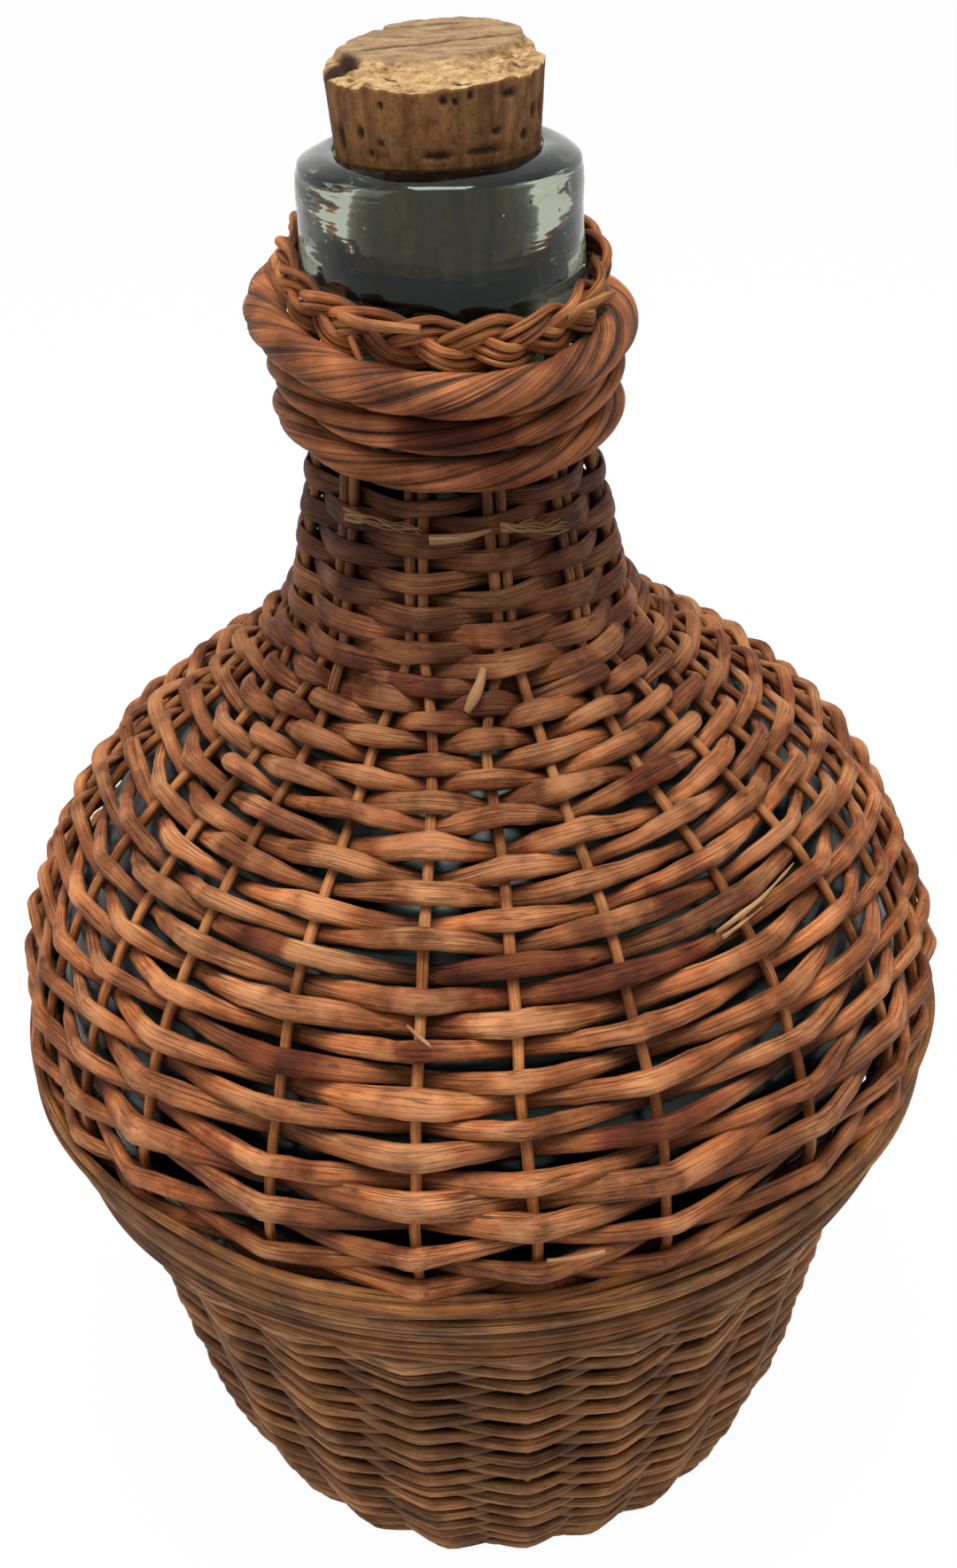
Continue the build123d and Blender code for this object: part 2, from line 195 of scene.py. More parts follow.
def spun(name, outline, turns, merge):
    """A section, as radii and heights, spun about the axis, with its doubles merged and its faces outwards."""
    mesh = bpy.data.meshes.new(name)
    mesh.from_pydata([(radius, 0, height) for radius, height in outline],
                     [(step, step + 1) for step in range(len(outline) - 1)], [])
    piece = bpy.data.objects.new(name, mesh)
    bpy.context.collection.objects.link(piece)
    picked([piece])
    bpy.ops.object.mode_set(mode="EDIT")
    bpy.ops.mesh.select_all(action="SELECT")
    bpy.ops.mesh.spin(steps=turns, angle=2 * math.pi, center=(0, 0, 0), axis=(0, 0, 1))
    bpy.ops.mesh.select_all(action="SELECT")
    bpy.ops.mesh.remove_doubles(threshold=merge)
    bpy.ops.mesh.normals_make_consistent(inside=False)
    bpy.ops.object.mode_set(mode="OBJECT")
    bpy.ops.object.shade_smooth()
    return piece


def clamped(value):
    """The value, held between 0 and 1."""
    return min(1.0, max(0.0, value))


def rough(*place):
    """Smooth noise from about -1 to 1 at a place given by three numbers."""
    return noise.noise(Vector(place))


body = [(belly_radius * out, belly_height * up) for up, out in belly_shares]
body += [(neck_radius + (belly_radius - neck_radius) * out, belly_height + (neck_foot - belly_height) * up)
         for up, out in shoulder_shares]
outer_body = smooth_outline([(0.0523, 0.0), (0.0636, 0.0048)] + body, 5)
along = np.gradient(outer_body, axis=0)
along /= np.linalg.norm(along, axis=1)[:, None]
inner_body = outer_body - np.stack([along[:, 1], -along[:, 0]], 1) * wall
collar_foot = glass_tall - 0.031
collar = smooth_outline([(neck_radius, collar_foot), (0.0262, collar_foot + 0.0018),
                         (0.0287, collar_foot + 0.0042), (0.0289, collar_foot + 0.0070),
                         (0.0285, glass_tall - 0.012), (0.0283, glass_tall - 0.0036),
                         (0.0277, glass_tall - 0.0015), (0.0259, glass_tall - 0.0003),
                         (0.0225, glass_tall + 0.0008), (0.0207, glass_tall + 0.0006),
                         (mouth_radius, glass_tall - 0.0010)], 6)
outline = [(0.0, 0.0115), (0.020, 0.0098), (0.037, 0.0040), (0.0450, 0.0)]
outline += [tuple(place) for place in outer_body] + [tuple(place) for place in collar]
outline += [(0.0195, glass_tall - 0.012), (bore_radius, glass_tall - 0.025), (bore_radius, neck_foot)]
outline += [tuple(place) for place in inner_body[::-1] if place[1] > 0.012 and place[0] > bore_radius]
outline += [(0.050, 0.0075), (0.020, 0.0135), (0.0, 0.0150)]
bottle = spun("bottle_glass", [(radius, glass_low.z + height) for radius, height in outline],
              glass_turns, 0.00002)
for vertex in bottle.data.vertices:
    place = vertex.co
    radius = math.hypot(place.x, place.y)
    if radius > bore_radius * 1.12 and place.z > glass_low.z + collar_foot + 0.001:
        lip = clamped((place.z - glass_high.z + lip_reach) / 0.002)
        swell = (0.00035 * noise.noise(place * 60) + 0.00025 * rough(place.x * 45, place.y * 45, 0)
                 + 0.00022 * lip * rough(place.x * 70, place.y * 70, place.z * 900))
        wider = 1 + swell / radius
        vertex.co = Vector((place.x * wider, place.y * wider, place.z + swell * 0.4))


def object_place(tree):
    """Where on the piece a point lies, in metres."""
    return add_node(tree, "TexCoord").outputs["Object"]


def object_height(tree):
    """How high on the piece a point lies, in metres."""
    return add_node(tree, "SeparateXYZ", {"Vector": object_place(tree)}).outputs["Z"]


def stretched(tree, vector, scale):
    """A vector scaled along each axis."""
    return add_node(tree, "Mapping", {"Vector": vector, "Scale": scale}).outputs["Vector"]


def clouds(tree, vector, scale, detail, roughness=0.55):
    """Noise along a vector, with one scale or, as a tuple, one for each axis."""
    if isinstance(scale, tuple):
        vector, scale = stretched(tree, vector, scale), 1.0
    sockets = {"Vector": vector, "Scale": scale, "Detail": detail, "Roughness": roughness}
    return add_node(tree, "TexNoise", sockets).outputs["Fac"]


def mixed(tree, kind, factor, first, second):
    """Two colours mixed; a factor or colour may be plain or a node's output."""
    sockets = {0: factor, 6: first, 7: second}
    return add_node(tree, "Mix", sockets, data_type="RGBA", blend_type=kind).outputs[2]


def bumped(tree, height, strength, distance):
    """The normal of a surface with this height on it."""
    sockets = {"Height": height, "Strength": strength, "Distance": distance}
    return add_node(tree, "Bump", sockets).outputs["Normal"]


green_glass, glass_tree, glass_shader = shaded("green_glass", {
    "IOR": 1.5, "Transmission Weight": 1.0, "Specular Tint": (0.53, 0.64, 0.60, 1)})
glass_place = object_place(glass_tree)
glass_rise = ranged(glass_tree, object_height(glass_tree), glass_low.z + collar_foot - 0.002,
                    glass_low.z + collar_foot + 0.013, interpolation_type="SMOOTHSTEP")
tool_lines = clouds(glass_tree, glass_place, (22, 22, 160), 3.0, 0.5)
seed_bubbles = add_node(glass_tree, "TexVoronoi", {"Vector": glass_place, "Scale": 260.0}).outputs["Distance"]
glass_relief = maths(glass_tree, "ADD", tool_lines, ranged(glass_tree, seed_bubbles, 0.10, 0.0))
# the belly below the collar takes the near-black painted-shade tint
feed(glass_shader, {"Base Color": mixed(glass_tree, "MIX", glass_rise, belly_painted_shade_tint, collar_tint),
                    "Roughness": ranged(glass_tree, glass_rise, 0.0, 1.0, 0.26, 0.04),
                    "Normal": bumped(glass_tree, glass_relief, 0.42, 0.0012)})
bottle.data.materials.append(green_glass)
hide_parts("glass_bottle")
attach(bottle, "root")

# Lower basket weave
# Soaked willow rods woven tight round the uprights, in front of one and behind the next, each row the
# other way from the last. Every rod is a smooth curve with an oval section, so its grain follows it.
basket_low, basket_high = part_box("basket_wall")
stake_count = 24
stake_step = 360 / stake_count
stake_thick = 0.0023
basket_rows = 34
basket_row_reach = 0.0035       # how far from its height a row looks for the wall's radius
basket_rod_wide = 0.0035
basket_rod_thick = 0.0026
basket_swing = 0.0021           # from the middle of the wall to the middle of a rod in front or behind
basket_flare = 0.0046           # the rim opens outwards by this much
basket_flare_reach = 0.0052
stake_rise = 0.010              # the uprights stand this far out of the basket


def corners(mesh, what="co"):
    """A mesh's corners, or another of their vectors, one row each."""
    rows = np.zeros(len(mesh.vertices) * 3)
    mesh.vertices.foreach_get(what, rows)
    return rows.reshape(-1, 3)


def stored(piece, label, values):
    """Store a number for each corner under a name that the materials read."""
    numbers = np.full(len(piece.data.vertices), values, np.float32)
    piece.data.attributes.new(label, "FLOAT", "POINT").data.foreach_set("value", numbers)


def cad_outline(node):
    """Radius and height of every corner of a CAD node, as two arrays."""
    places = corners(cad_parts[node].data)
    return np.hypot(places[:, 0], places[:, 1]), places[:, 2]


def around(radius, azimuth, height):
    """A point at an azimuth in degrees, 0 at the front and growing to the right."""
    angle = math.radians(azimuth)
    return Vector((radius * math.sin(angle), -radius * math.cos(angle), height))


def laid_rod(name, spots, wide, thick, tone, closed=True, smooth=3):
    """A rod through its spots, each a place, a lean and a swell, made a mesh with its grain along U."""
    bpy.ops.curve.primitive_nurbs_circle_add(radius=1.0)
    section = bpy.context.object
    section.data.resolution_u = 2
    for point in section.data.splines[0].points:
        point.co.x *= thick * 0.5
        point.co.y *= wide * 0.5
    line = bpy.data.curves.new(name, "CURVE")
    line.dimensions = "3D"
    line.twist_mode = "Z_UP" if closed else "MINIMUM"
    line.bevel_mode = "OBJECT"
    line.bevel_object = section
    line.use_fill_caps = not closed
    spline = line.splines.new("NURBS")
    spline.points.add(len(spots) - 1)
    for point, (place, lean, swell) in zip(spline.points, spots):
        point.co = (*place, 1)
        point.tilt = lean
        point.radius = swell
    spline.use_cyclic_u = closed
    spline.order_u = 3
    spline.use_endpoint_u = not closed
    spline.resolution_u = smooth
    rod = bpy.data.objects.new(name, line)
    bpy.context.collection.objects.link(rod)
    picked([rod])
    bpy.ops.object.convert(target="MESH")
    bpy.data.objects.remove(section)
    length = sum((spots[step][0] - spots[step - 1][0]).length for step in range(1, len(spots)))
    mesh = rod.data
    grain = np.zeros(len(mesh.uv_layers[0].uv) * 2, np.float32)
    mesh.uv_layers[0].uv.foreach_get("vector", grain)
    grain = grain.reshape(-1, 2)
    grain[:, 0] = grain[:, 0] * length + tone
    mesh.uv_layers[0].uv.foreach_set("vector", grain.ravel())
    stored(rod, "tone", tone)
    mesh.shade_smooth()
    return rod


def joined(name, rods):
    """Several rods as one piece."""
    picked(rods)
    if len(rods) > 1:
        bpy.ops.object.join()
    rods[0].name = name
    rods[0].data.name = name
    return rods[0]


def wander(seed, place):
    """A smooth random number from -1 to 1 that is the same on every run."""
    return rough(seed * 7.31, place, seed * 3.17 + 0.5) * 1.6


def over_under(number):
    """1 where a rod passes in front and -1 where it passes behind, by turns."""
    return 1 if number % 2 else -1


def marked_depth(piece, skin, deepest, nearest=0.0):
    """Store how far out each corner lies, from 0 at the deepest below the skin, for painted shade in the
    hollows.
    """
    places = corners(piece.data)
    outside = skin(places[:, 2])
    inside, outside = outside - deepest, outside - nearest
    radius = np.hypot(places[:, 0], places[:, 1])
    stored(piece, "depth", np.clip((radius - inside) / (outside - inside), 0, 1))


def lumpy(piece, amount, size, seed):
    """Swell and pinch rods unevenly, as grown wood does."""
    mesh = piece.data
    places, outward = corners(mesh), corners(mesh, "normal")
    lumps = np.array([noise.noise(Vector(place) / size + Vector((seed, 0, 0))) for place in places])
    mesh.vertices.foreach_set("co", (places + outward * (lumps * amount)[:, None]).ravel())
    mesh.update()


def loose_end(name, skin, spots, thick, seed, bare=1.0):
    """A broken end or splinter, pale where bare: each spot an azimuth, a height and how far it stands off."""
    laid = [(around(float(skin(height)) + off, azimuth, height), 0.4 * index, swell)
            for index, (azimuth, height, off, swell) in enumerate(spots)]
    rod = laid_rod(name, laid, thick * 1.5, thick, 0.61 * seed, closed=False)
    stored(rod, "bare", bare)
    return rod


def frayed(name, skin, start, end, height, fall, strands, seed):
    """A tuft of torn fibres lying along a row."""
    fibres = []
    for fibre in range(strands):
        spots = []
        for step in range(6):
            share = step / 5
            azimuth = start + (end - start) * share + 1.5 * wander(seed + fibre, 3.3)
            level = height - fall * share + 0.0015 * wander(seed + fibre * 3, share * 3.1 + fibre)
            off = 0.0010 + 0.0013 * wander(seed + fibre * 5, share * 2.3)
            spots.append((azimuth, level, off, 1.15 - 0.75 * share))
        fibres.append(loose_end(name, skin, spots, 0.00055, seed + fibre, 0.42))
    return fibres


def stained(piece, patches):
    """Mark patches of dark bark: azimuth, height, half the width in degrees and half the height of each."""
    places = corners(piece.data)
    azimuths = np.degrees(np.arctan2(places[:, 0], -places[:, 1]))
    stain = np.zeros(len(places))
    for azimuth, height, half_wide, half_tall in patches:
        away = np.maximum(np.abs(azimuths - azimuth) / half_wide, np.abs(places[:, 2] - height) / half_tall)
        stain = np.maximum(stain, np.clip((1.1 - away) / 0.2, 0, 1))
    stored(piece, "stain", stain)


def woven_row(name, radius, height, slope, azimuths, signs, swing, wide, thick, seed, loose,
              smooth=3, fat=0.05, slim=0.0):
    """One closed row that passes outside and inside the uprights by turns, along the cover's own slope."""
    half = len(azimuths) // 2
    passes = list(zip(azimuths, signs))
    passes = passes[half:] + [(azimuth + 360, sign) for azimuth, sign in passes[:half]]
    grip = math.degrees((stake_thick * 0.5 + thick * 0.15) / radius)
    marks = []
    for index, (azimuth, sign) in enumerate(passes):
        after, after_sign = passes[(index + 1) % len(passes)]
        after += 360 if index + 1 == len(passes) else 0
        before = passes[index - 1][0] - (360 if index == 0 else 0)
        marks.append((azimuth - min(grip, 0.4 * (azimuth - before)), sign))
        marks.append((azimuth + min(grip, 0.4 * (after - azimuth)), sign))
        if after_sign != sign:
            marks.append(((azimuth + after) / 2, 0))
    spots = []
    for azimuth, sign in marks:
        lift = loose * (wander(seed, azimuth / 13.0) + wander(seed + 70, azimuth / 47.0))
        out = sign * swing * (1 + 0.12 * wander(seed + 50, azimuth / 15.0))
        place = around(radius + out * math.cos(slope), azimuth, height + out * math.sin(slope) + lift)
        swell = 1 + 0.17 * wander(seed + 90, azimuth / 24.0) + fat * sign
        swell *= 1 - slim * math.sin(math.radians(azimuth)) ** 2
        spots.append((place, -slope + 0.25 * wander(seed + 20, azimuth / 20.0), swell))
    return laid_rod(name, spots, wide, thick, seed % 17 / 17 + 0.03 * (seed % 5), smooth=smooth)


wall_radius, wall_height = cad_outline("basket_wall")
basket_heights = np.linspace(basket_low.z + 0.0010, basket_high.z - 0.0012, basket_rows)
basket_radii = np.array([wall_radius[np.abs(wall_height - height) < basket_row_reach].max()
                         for height in basket_heights])
basket_radii += basket_flare * np.exp(-(basket_heights[-1] - basket_heights) / basket_flare_reach)
basket_slopes = np.arctan2(-np.gradient(basket_radii), np.gradient(basket_heights))
lower_azimuths = [stake_step * index + 2.6 + 1.6 * wander(3, index * 1.7 + 0.4)
                  for index in range(stake_count)]
basket = []
for row in range(basket_rows):
    middle = basket_radii[row] - (basket_swing + basket_rod_thick * 0.5)
    turns = [over_under(index + row) for index in range(stake_count)]
    basket.append(woven_row("basket_row", middle, basket_heights[row], basket_slopes[row], lower_azimuths,
                            turns, basket_swing, basket_rod_wide, basket_rod_thick, 200 + row, 0.0004,
                            smooth=2, fat=0.11))
basket = joined("basket_weave", basket)


def basket_skin(height):
    """The basket's outermost radius at a height."""
    return np.interp(height, basket_heights, basket_radii)


marked_depth(basket, basket_skin, 0.0050)
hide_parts("basket_wall")
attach(basket, "root")

lower_stakes = []
for index, azimuth in enumerate(lower_azimuths):
    spots = []
    for row in range(basket_rows):
        press = -0.0004 * over_under(index + row)
        middle = basket_radii[row] - basket_swing - basket_rod_thick * 0.5 + press
        spots.append((around(middle, azimuth, basket_heights[row]), 0, 1))
    spots.append((spots[-1][0] + Vector((0, 0, stake_rise)), 0, 0.9))
    lower_stakes.append(laid_rod("lower_stake", spots, stake_thick, stake_thick, index % 7 / 7, closed=False))
lower_stakes = joined("lower_stakes_rods", lower_stakes)
marked_depth(lower_stakes, basket_skin, 0.0062)
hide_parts("lower_stakes")
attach(lower_stakes, "root")


# Willow
# Old willow: red-brown skin with fine long grain, small dark knots, paler scuffs where hands and carts
# rub the rods, and painted shade deep in the weave. One grain effect serves every rod, with its own colours.
def attribute(tree, label):
    """A number stored on the piece."""
    return add_node(tree, "Attribute", attribute_name=label).outputs["Fac"]


def willow_grain_group():
    """Long grain, knots, scuffs and painted shade in the hollows from the rod's own UV map and its stored
    tone, depth and stain.
    """
    group = bpy.data.node_groups.new("willow_grain", "ShaderNodeTree")
    socket = group.interface.new_socket
    for label, kind, start in (("Skin", "NodeSocketColor", (0.3, 0.13, 0.06, 1)),
                               ("Scuff", "NodeSocketColor", (0.5, 0.28, 0.14, 1)),
                               ("Crack_and_shade", "NodeSocketColor", (0.04, 0.02, 0.01, 1)),
                               ("Variation", "NodeSocketFloat", 0.5), ("Knots", "NodeSocketFloat", 0.6),
                               ("Bark", "NodeSocketFloat", 0.5), ("Short", "NodeSocketFloat", 1.0)):
        socket(name=label, in_out="INPUT", socket_type=kind).default_value = start
    socket(name="Color", in_out="OUTPUT", socket_type="NodeSocketColor")
    socket(name="Roughness", in_out="OUTPUT", socket_type="NodeSocketFloat")
    socket(name="Height", in_out="OUTPUT", socket_type="NodeSocketFloat")
    given = group.nodes.new("NodeGroupInput").outputs
    put_out = group.nodes.new("NodeGroupOutput")

    def add(kind, sockets=None, **settings):
        return add_node(group, kind, sockets, **settings).outputs

    def spread(value, low, high, to_low=0.0, to_high=1.0):
        return ranged(group, value, low, high, to_low, to_high)

    def times(first, second):
        return maths(group, "MULTIPLY", first, second)

    shortened = add("CombineXYZ", {"X": given["Short"], "Y": 1.0})["Vector"]
    rod_uv = add("UVMap", uv_map="UVMap")["UV"]
    grain_uv = add("VectorMath", {0: rod_uv, 1: shortened}, operation="MULTIPLY")["Vector"]
    tone, depth, stain, bare = [attribute(group, label) for label in ("tone", "depth", "stain", "bare")]
    place = object_place(group)

    fine = clouds(group, grain_uv, (60, 17, 1), 6.0, 0.68)
    streak = clouds(group, grain_uv, (14, 3.6, 1), 4.0)
    split = maths(group, "SUBTRACT", clouds(group, grain_uv, (9, 13, 1), 2.0), 0.5)
    crack = times(spread(maths(group, "ABSOLUTE", split, 0.0), 0.026, 0.006), spread(streak, 0.36, 0.54))
    cloud = clouds(group, place, 80.0, 5.0, 0.5)
    bark = times(spread(clouds(group, place, 21.0, 6.0, 0.65), 0.56, 0.61), given["Bark"])
    knot = add("TexVoronoi", {"Vector": stretched(group, grain_uv, (60, 3, 1)), "Scale": 1.0})
    knot_chosen = spread(add("SeparateColor", {"Color": knot["Color"]})["Red"], 0.58, 0.68)
    spots = times(times(spread(knot["Distance"], 0.17, 0.06), knot_chosen), given["Knots"])
    marks = maths(group, "MAXIMUM", spots, crack)

    rod_tone = add("TexWhiteNoise", {"W": tone}, noise_dimensions="1D")["Value"]
    off_plain = maths(group, "SUBTRACT", spread(rod_tone, 0.0, 1.0, 0.62, 1.36), 1.0)
    varied = maths(group, "ADD", 1.0, times(off_plain, given["Variation"]))
    shade = add("HueSaturation", {"Color": given["Skin"], "Value": varied})["Color"]
    skin = mixed(group, "MIX", spread(streak, 0.46, 0.66, 0.0, 0.46), shade, given["Scuff"])
    for pattern, low, high, dark, light in (
            (fine, 0.34, 0.60, (0.52, 0.46, 0.42, 1), (1.10, 1.08, 1.05, 1)),
            (cloud, 0.36, 0.64, (0.50, 0.43, 0.39, 1), (1.32, 1.28, 1.22, 1))):
        shades = mixed(group, "MIX", spread(pattern, low, high), dark, light)
        skin = mixed(group, "MULTIPLY", 1.0, skin, shades)
    skin = mixed(group, "MULTIPLY", bark, skin, (0.50, 0.34, 0.29, 1))
    skin = mixed(group, "MIX", times(marks, 0.80), skin, given["Crack_and_shade"])
    inner_wood = mixed(group, "MIX", fine, (0.36, 0.165, 0.066, 1), (0.72, 0.440, 0.220, 1))
    skin = mixed(group, "MIX", bare, skin, inner_wood)
    rubbed = times(spread(depth, 0.84, 1.0), spread(cloud, 0.42, 0.66, 0.0, 0.50))
    skin = mixed(group, "MIX", rubbed, skin, given["Scuff"])
    skin = mixed(group, "MULTIPLY", stain, skin, (0.40, 0.24, 0.195, 1))
    # painted shade: the deeper a rod lies below the skin, the more its colour turns to the crack-and-shade
    # colour
    skin = mixed(group, "MIX", spread(depth, 0.66, 0.12, 0.0, 0.90), skin, given["Crack_and_shade"])
    relief = maths(group, "ADD", times(fine, 0.8), times(streak, 0.9))
    relief = maths(group, "ADD", relief, times(cloud, 1.6))
    feed(put_out, {"Color": skin, "Roughness": spread(fine, 0.3, 0.7, 0.68, 0.46),
                   "Height": maths(group, "SUBTRACT", relief, times(marks, 0.6))})
    return group


willow_grain = willow_grain_group()


def willow(name, skin, scuff, crack_and_shade, variation=1.0, knots=0.8, bark=0.5, short=1.0):
    """A willow material with its own colours, as linear red, green and blue, and its own length of grain."""
    made, tree, shader = shaded(name, {"Specular IOR Level": 0.16})
    grain = add_node(tree, "Group", {
        "Skin": (*skin, 1), "Scuff": (*scuff, 1), "Crack_and_shade": (*crack_and_shade, 1), "Variation": variation,
        "Knots": knots, "Bark": bark, "Short": short}, node_tree=willow_grain).outputs
    feed(shader, {"Base Color": grain["Color"], "Roughness": grain["Roughness"],
                  "Normal": bumped(tree, grain["Height"], 0.9, 0.0005)})
    return made


def by_height(material, low, high, skin, scuff, crack_and_shade):
    """Let a willow's colours turn into darker ones between two heights."""
    tree = material.node_tree
    grain = next(node for node in tree.nodes if node.type == "GROUP")
    share = ranged(tree, object_height(tree), low, high)
    for label, colour in (("Skin", skin), ("Scuff", scuff), ("Crack_and_shade", crack_and_shade)):
        below = grain.inputs[label].default_value
        feed(grain, {label: mixed(tree, "MIX", share, below, (*colour, 1))})


basket_willow = willow("grey_brown_willow", (0.290, 0.126, 0.042), (0.52, 0.270, 0.112),
                       (0.018, 0.0075, 0.0035), 0.7, bark=0.15, short=1.8)
stake_willow = willow("pale_upright_willow", (0.50, 0.19, 0.062), (0.66, 0.31, 0.12),
                      (0.06, 0.024, 0.009), 0.5, bark=0.1)
by_height(stake_willow, 0.205, 0.275, (0.18, 0.068, 0.025), (0.32, 0.14, 0.055), (0.020, 0.008, 0.004))
basket.data.materials.append(basket_willow)
lower_stakes.data.materials.append(stake_willow)

# Foot border and base
# The rods' ends are twisted into a rope-like edge that the basket stands on, with a closing rod inside it.
# The base within is woven round two crossed bundles of sticks.
foot_tube = 0.0037
foot_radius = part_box("foot_border")[1].x - foot_tube
foot_strands = 3
foot_steps = 144
closing_steps = 72
foot_rods = []
for strand in range(foot_strands):
    spots = []
    for step in range(foot_steps):
        turn = 2 * math.pi * (step / 9 + strand / foot_strands)
        spots.append((around(foot_radius + 0.0018 * math.cos(turn), 180 + step * 360 / foot_steps,
                             foot_tube + 0.0017 * math.sin(turn)), 0, 1 + 0.06 * wander(strand, step / 7)))
    foot_rods.append(laid_rod("foot_rod", spots, 0.0038, 0.0038, 0.31 * strand, smooth=2))
closing_rod = [(around(foot_radius - 0.0054 + 0.0003 * wander(9, step / 3), 180 + step * 360 / closing_steps,
                       0.0042), 0, 1) for step in range(closing_steps)]
foot_rods.append(laid_rod("foot_rod", closing_rod, 0.0036, 0.0042, 0.77, smooth=2))
foot_border = joined("foot_border_rods", foot_rods)
# painted shade: the whole foot border is darkened evenly, as if it lay deep in the weave
stored(foot_border, "depth", 0.42)
foot_border.data.materials.append(basket_willow)
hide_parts("foot_border")
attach(foot_border, "root")

disc_low, disc_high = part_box("base_disc")
disc_middle = (disc_low.z + disc_high.z) / 2
base_rounds = 14
inner_rounds = 5                # woven round the spokes in pairs
base_wave = 0.0008
base_rods = []
for round_number in range(base_rounds):
    radius = disc_high.x * (round_number + 0.5) / base_rounds
    spokes = 10 if round_number < inner_rounds else 20
    spots = []
    for spoke in range(spokes * 2):
        height = disc_middle + base_wave * over_under(spoke + round_number)
        spots.append((around(radius, 180.0 * spoke / spokes, height), 1.57, 1))
    base_rods.append(laid_rod("base_round", spots, 0.0040, 0.0022, round_number * 0.37))
base_weave = joined("base_weave_rods", base_rods)
stored(base_weave, "depth", 0.78)
base_weave.data.materials.append(basket_willow)
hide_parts("base_disc")
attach(base_weave, "root")
open_depth = 0.80               # stored on rods with nothing in front of them, which show their full colour
sticks_in_layer = 5
stick_step = 0.0025             # from one stick to the next beside it
for layer, turned in (("base_sticks_lower", False), ("base_sticks_upper", True)):
    low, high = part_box(layer)
    height = (low.z + high.z) / 2
    reach = high.y if turned else high.x
    sticks = []
    for index in range(sticks_in_layer):
        aside = (index - sticks_in_layer // 2) * stick_step
        spots = []
        for step in range(7):
            far = reach * (step / 3 - 1)
            sway = aside + 0.0002 * wander(index, step)
            spots.append((Vector((sway, far, height) if turned else (far, sway, height)), 0, 1))
        sticks.append(laid_rod("base_stick", spots, stake_thick, stake_thick, index * 0.23, closed=False))
    sticks = joined(layer + "_rods", sticks)
    stored(sticks, "depth", open_depth)
    sticks.data.materials.append(stake_willow)
    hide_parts(layer)
    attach(sticks, "root")

# Upper cover
# Uprights run from behind the belt to the plait, in close pairs on the neck and fanned out on the belly.
# Split dark willow is woven on the neck, whole rods on the shoulder and belly, with the glass between.
rows = sorted(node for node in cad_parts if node.startswith("weaver_"))
zones = [row.split("_")[2] for row in rows]
row_heights = np.array([sum(corner.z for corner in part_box(row)) / 2 for row in rows])
row_skins = np.array([cad_outline(row)[0].max() for row in rows])
row_slopes = np.arctan2(np.gradient(row_skins), -np.gradient(row_heights))
shoulder_rows = [index for index, zone in enumerate(zones) if zone == "shoulder"]
fans = []
for index, zone in enumerate(zones):
    share = 0.0 if zone == "neck" else 1.0
    if zone == "shoulder":
        share = (index - shoulder_rows[0] + 1) / (len(shoulder_rows) + 1)
    fans.append(share * share * (3 - 2 * share))
slip = 0.0002                   # between rods that touch
singles_from = 0.45             # fanned out this far, the rows weave round single uprights
cover_depth = 0.0085            # the painted shade is darkest this far below the cover's skin
# how far the real uprights stray from even spacing, in degrees, from the front to the right
strays = (-2.7, -3.0, 1.6, 3.5, 1.2, -1.5, 2.2, 0.6, -2.4, 1.8, -0.9, 2.6,
          -1.7, 0.8, 2.9, -2.1, -0.4, 1.9, -2.8, 1.1, -1.3, -3.8, -1.4, -0.3)


def upright_azimuths(index, radius):
    """Where the uprights cross a row, in degrees."""
    close = math.degrees((stake_thick * 0.5 + slip) / radius)
    spread = close + (stake_step / 2 - close) * fans[index]
    azimuths = []
    for upright in range(stake_count):
        pair, side = divmod(upright, 2)
        drift = 0.5 * wander(upright + 400, row_heights[index] * 60) * fans[index]
        even = stake_step * (1 + 2 * pair) + (2 * side - 1) * spread
        azimuths.append(even + strays[upright] * fans[index] + drift)
    return azimuths


def passing(index, upright):
    """1 where a row passes in front of an upright, or of its pair, and -1 where it passes behind."""
    return over_under((upright if fans[index] > singles_from else upright // 2) + index)


def weaver_size(index):
    """Width and thickness of a row's rod: flat splints on the neck, fuller rods on the belly."""
    share = fans[index]
    wide = np.interp(share, (0.0, 0.4, 0.9, 1.0), (0.0046, 0.0050, 0.0051, 0.0047))
    wide *= 1 + 0.20 * wander(701, index * 3.7)
    thick = 0.0013 + 0.0019 * share
    return wide, thick


belly_willow = willow("red_brown_willow", (0.355, 0.122, 0.042), (0.57, 0.280, 0.125),
                      (0.022, 0.008, 0.0035), 0.85, bark=0.9, short=2.6)
by_height(belly_willow, 0.220, 0.282, (0.110, 0.037, 0.0138), (0.21, 0.088, 0.035), (0.012, 0.005, 0.0025))


def cover_skin(height):
    """The cover's outermost radius at a height."""
    return np.interp(height, row_heights[::-1], row_skins[::-1])


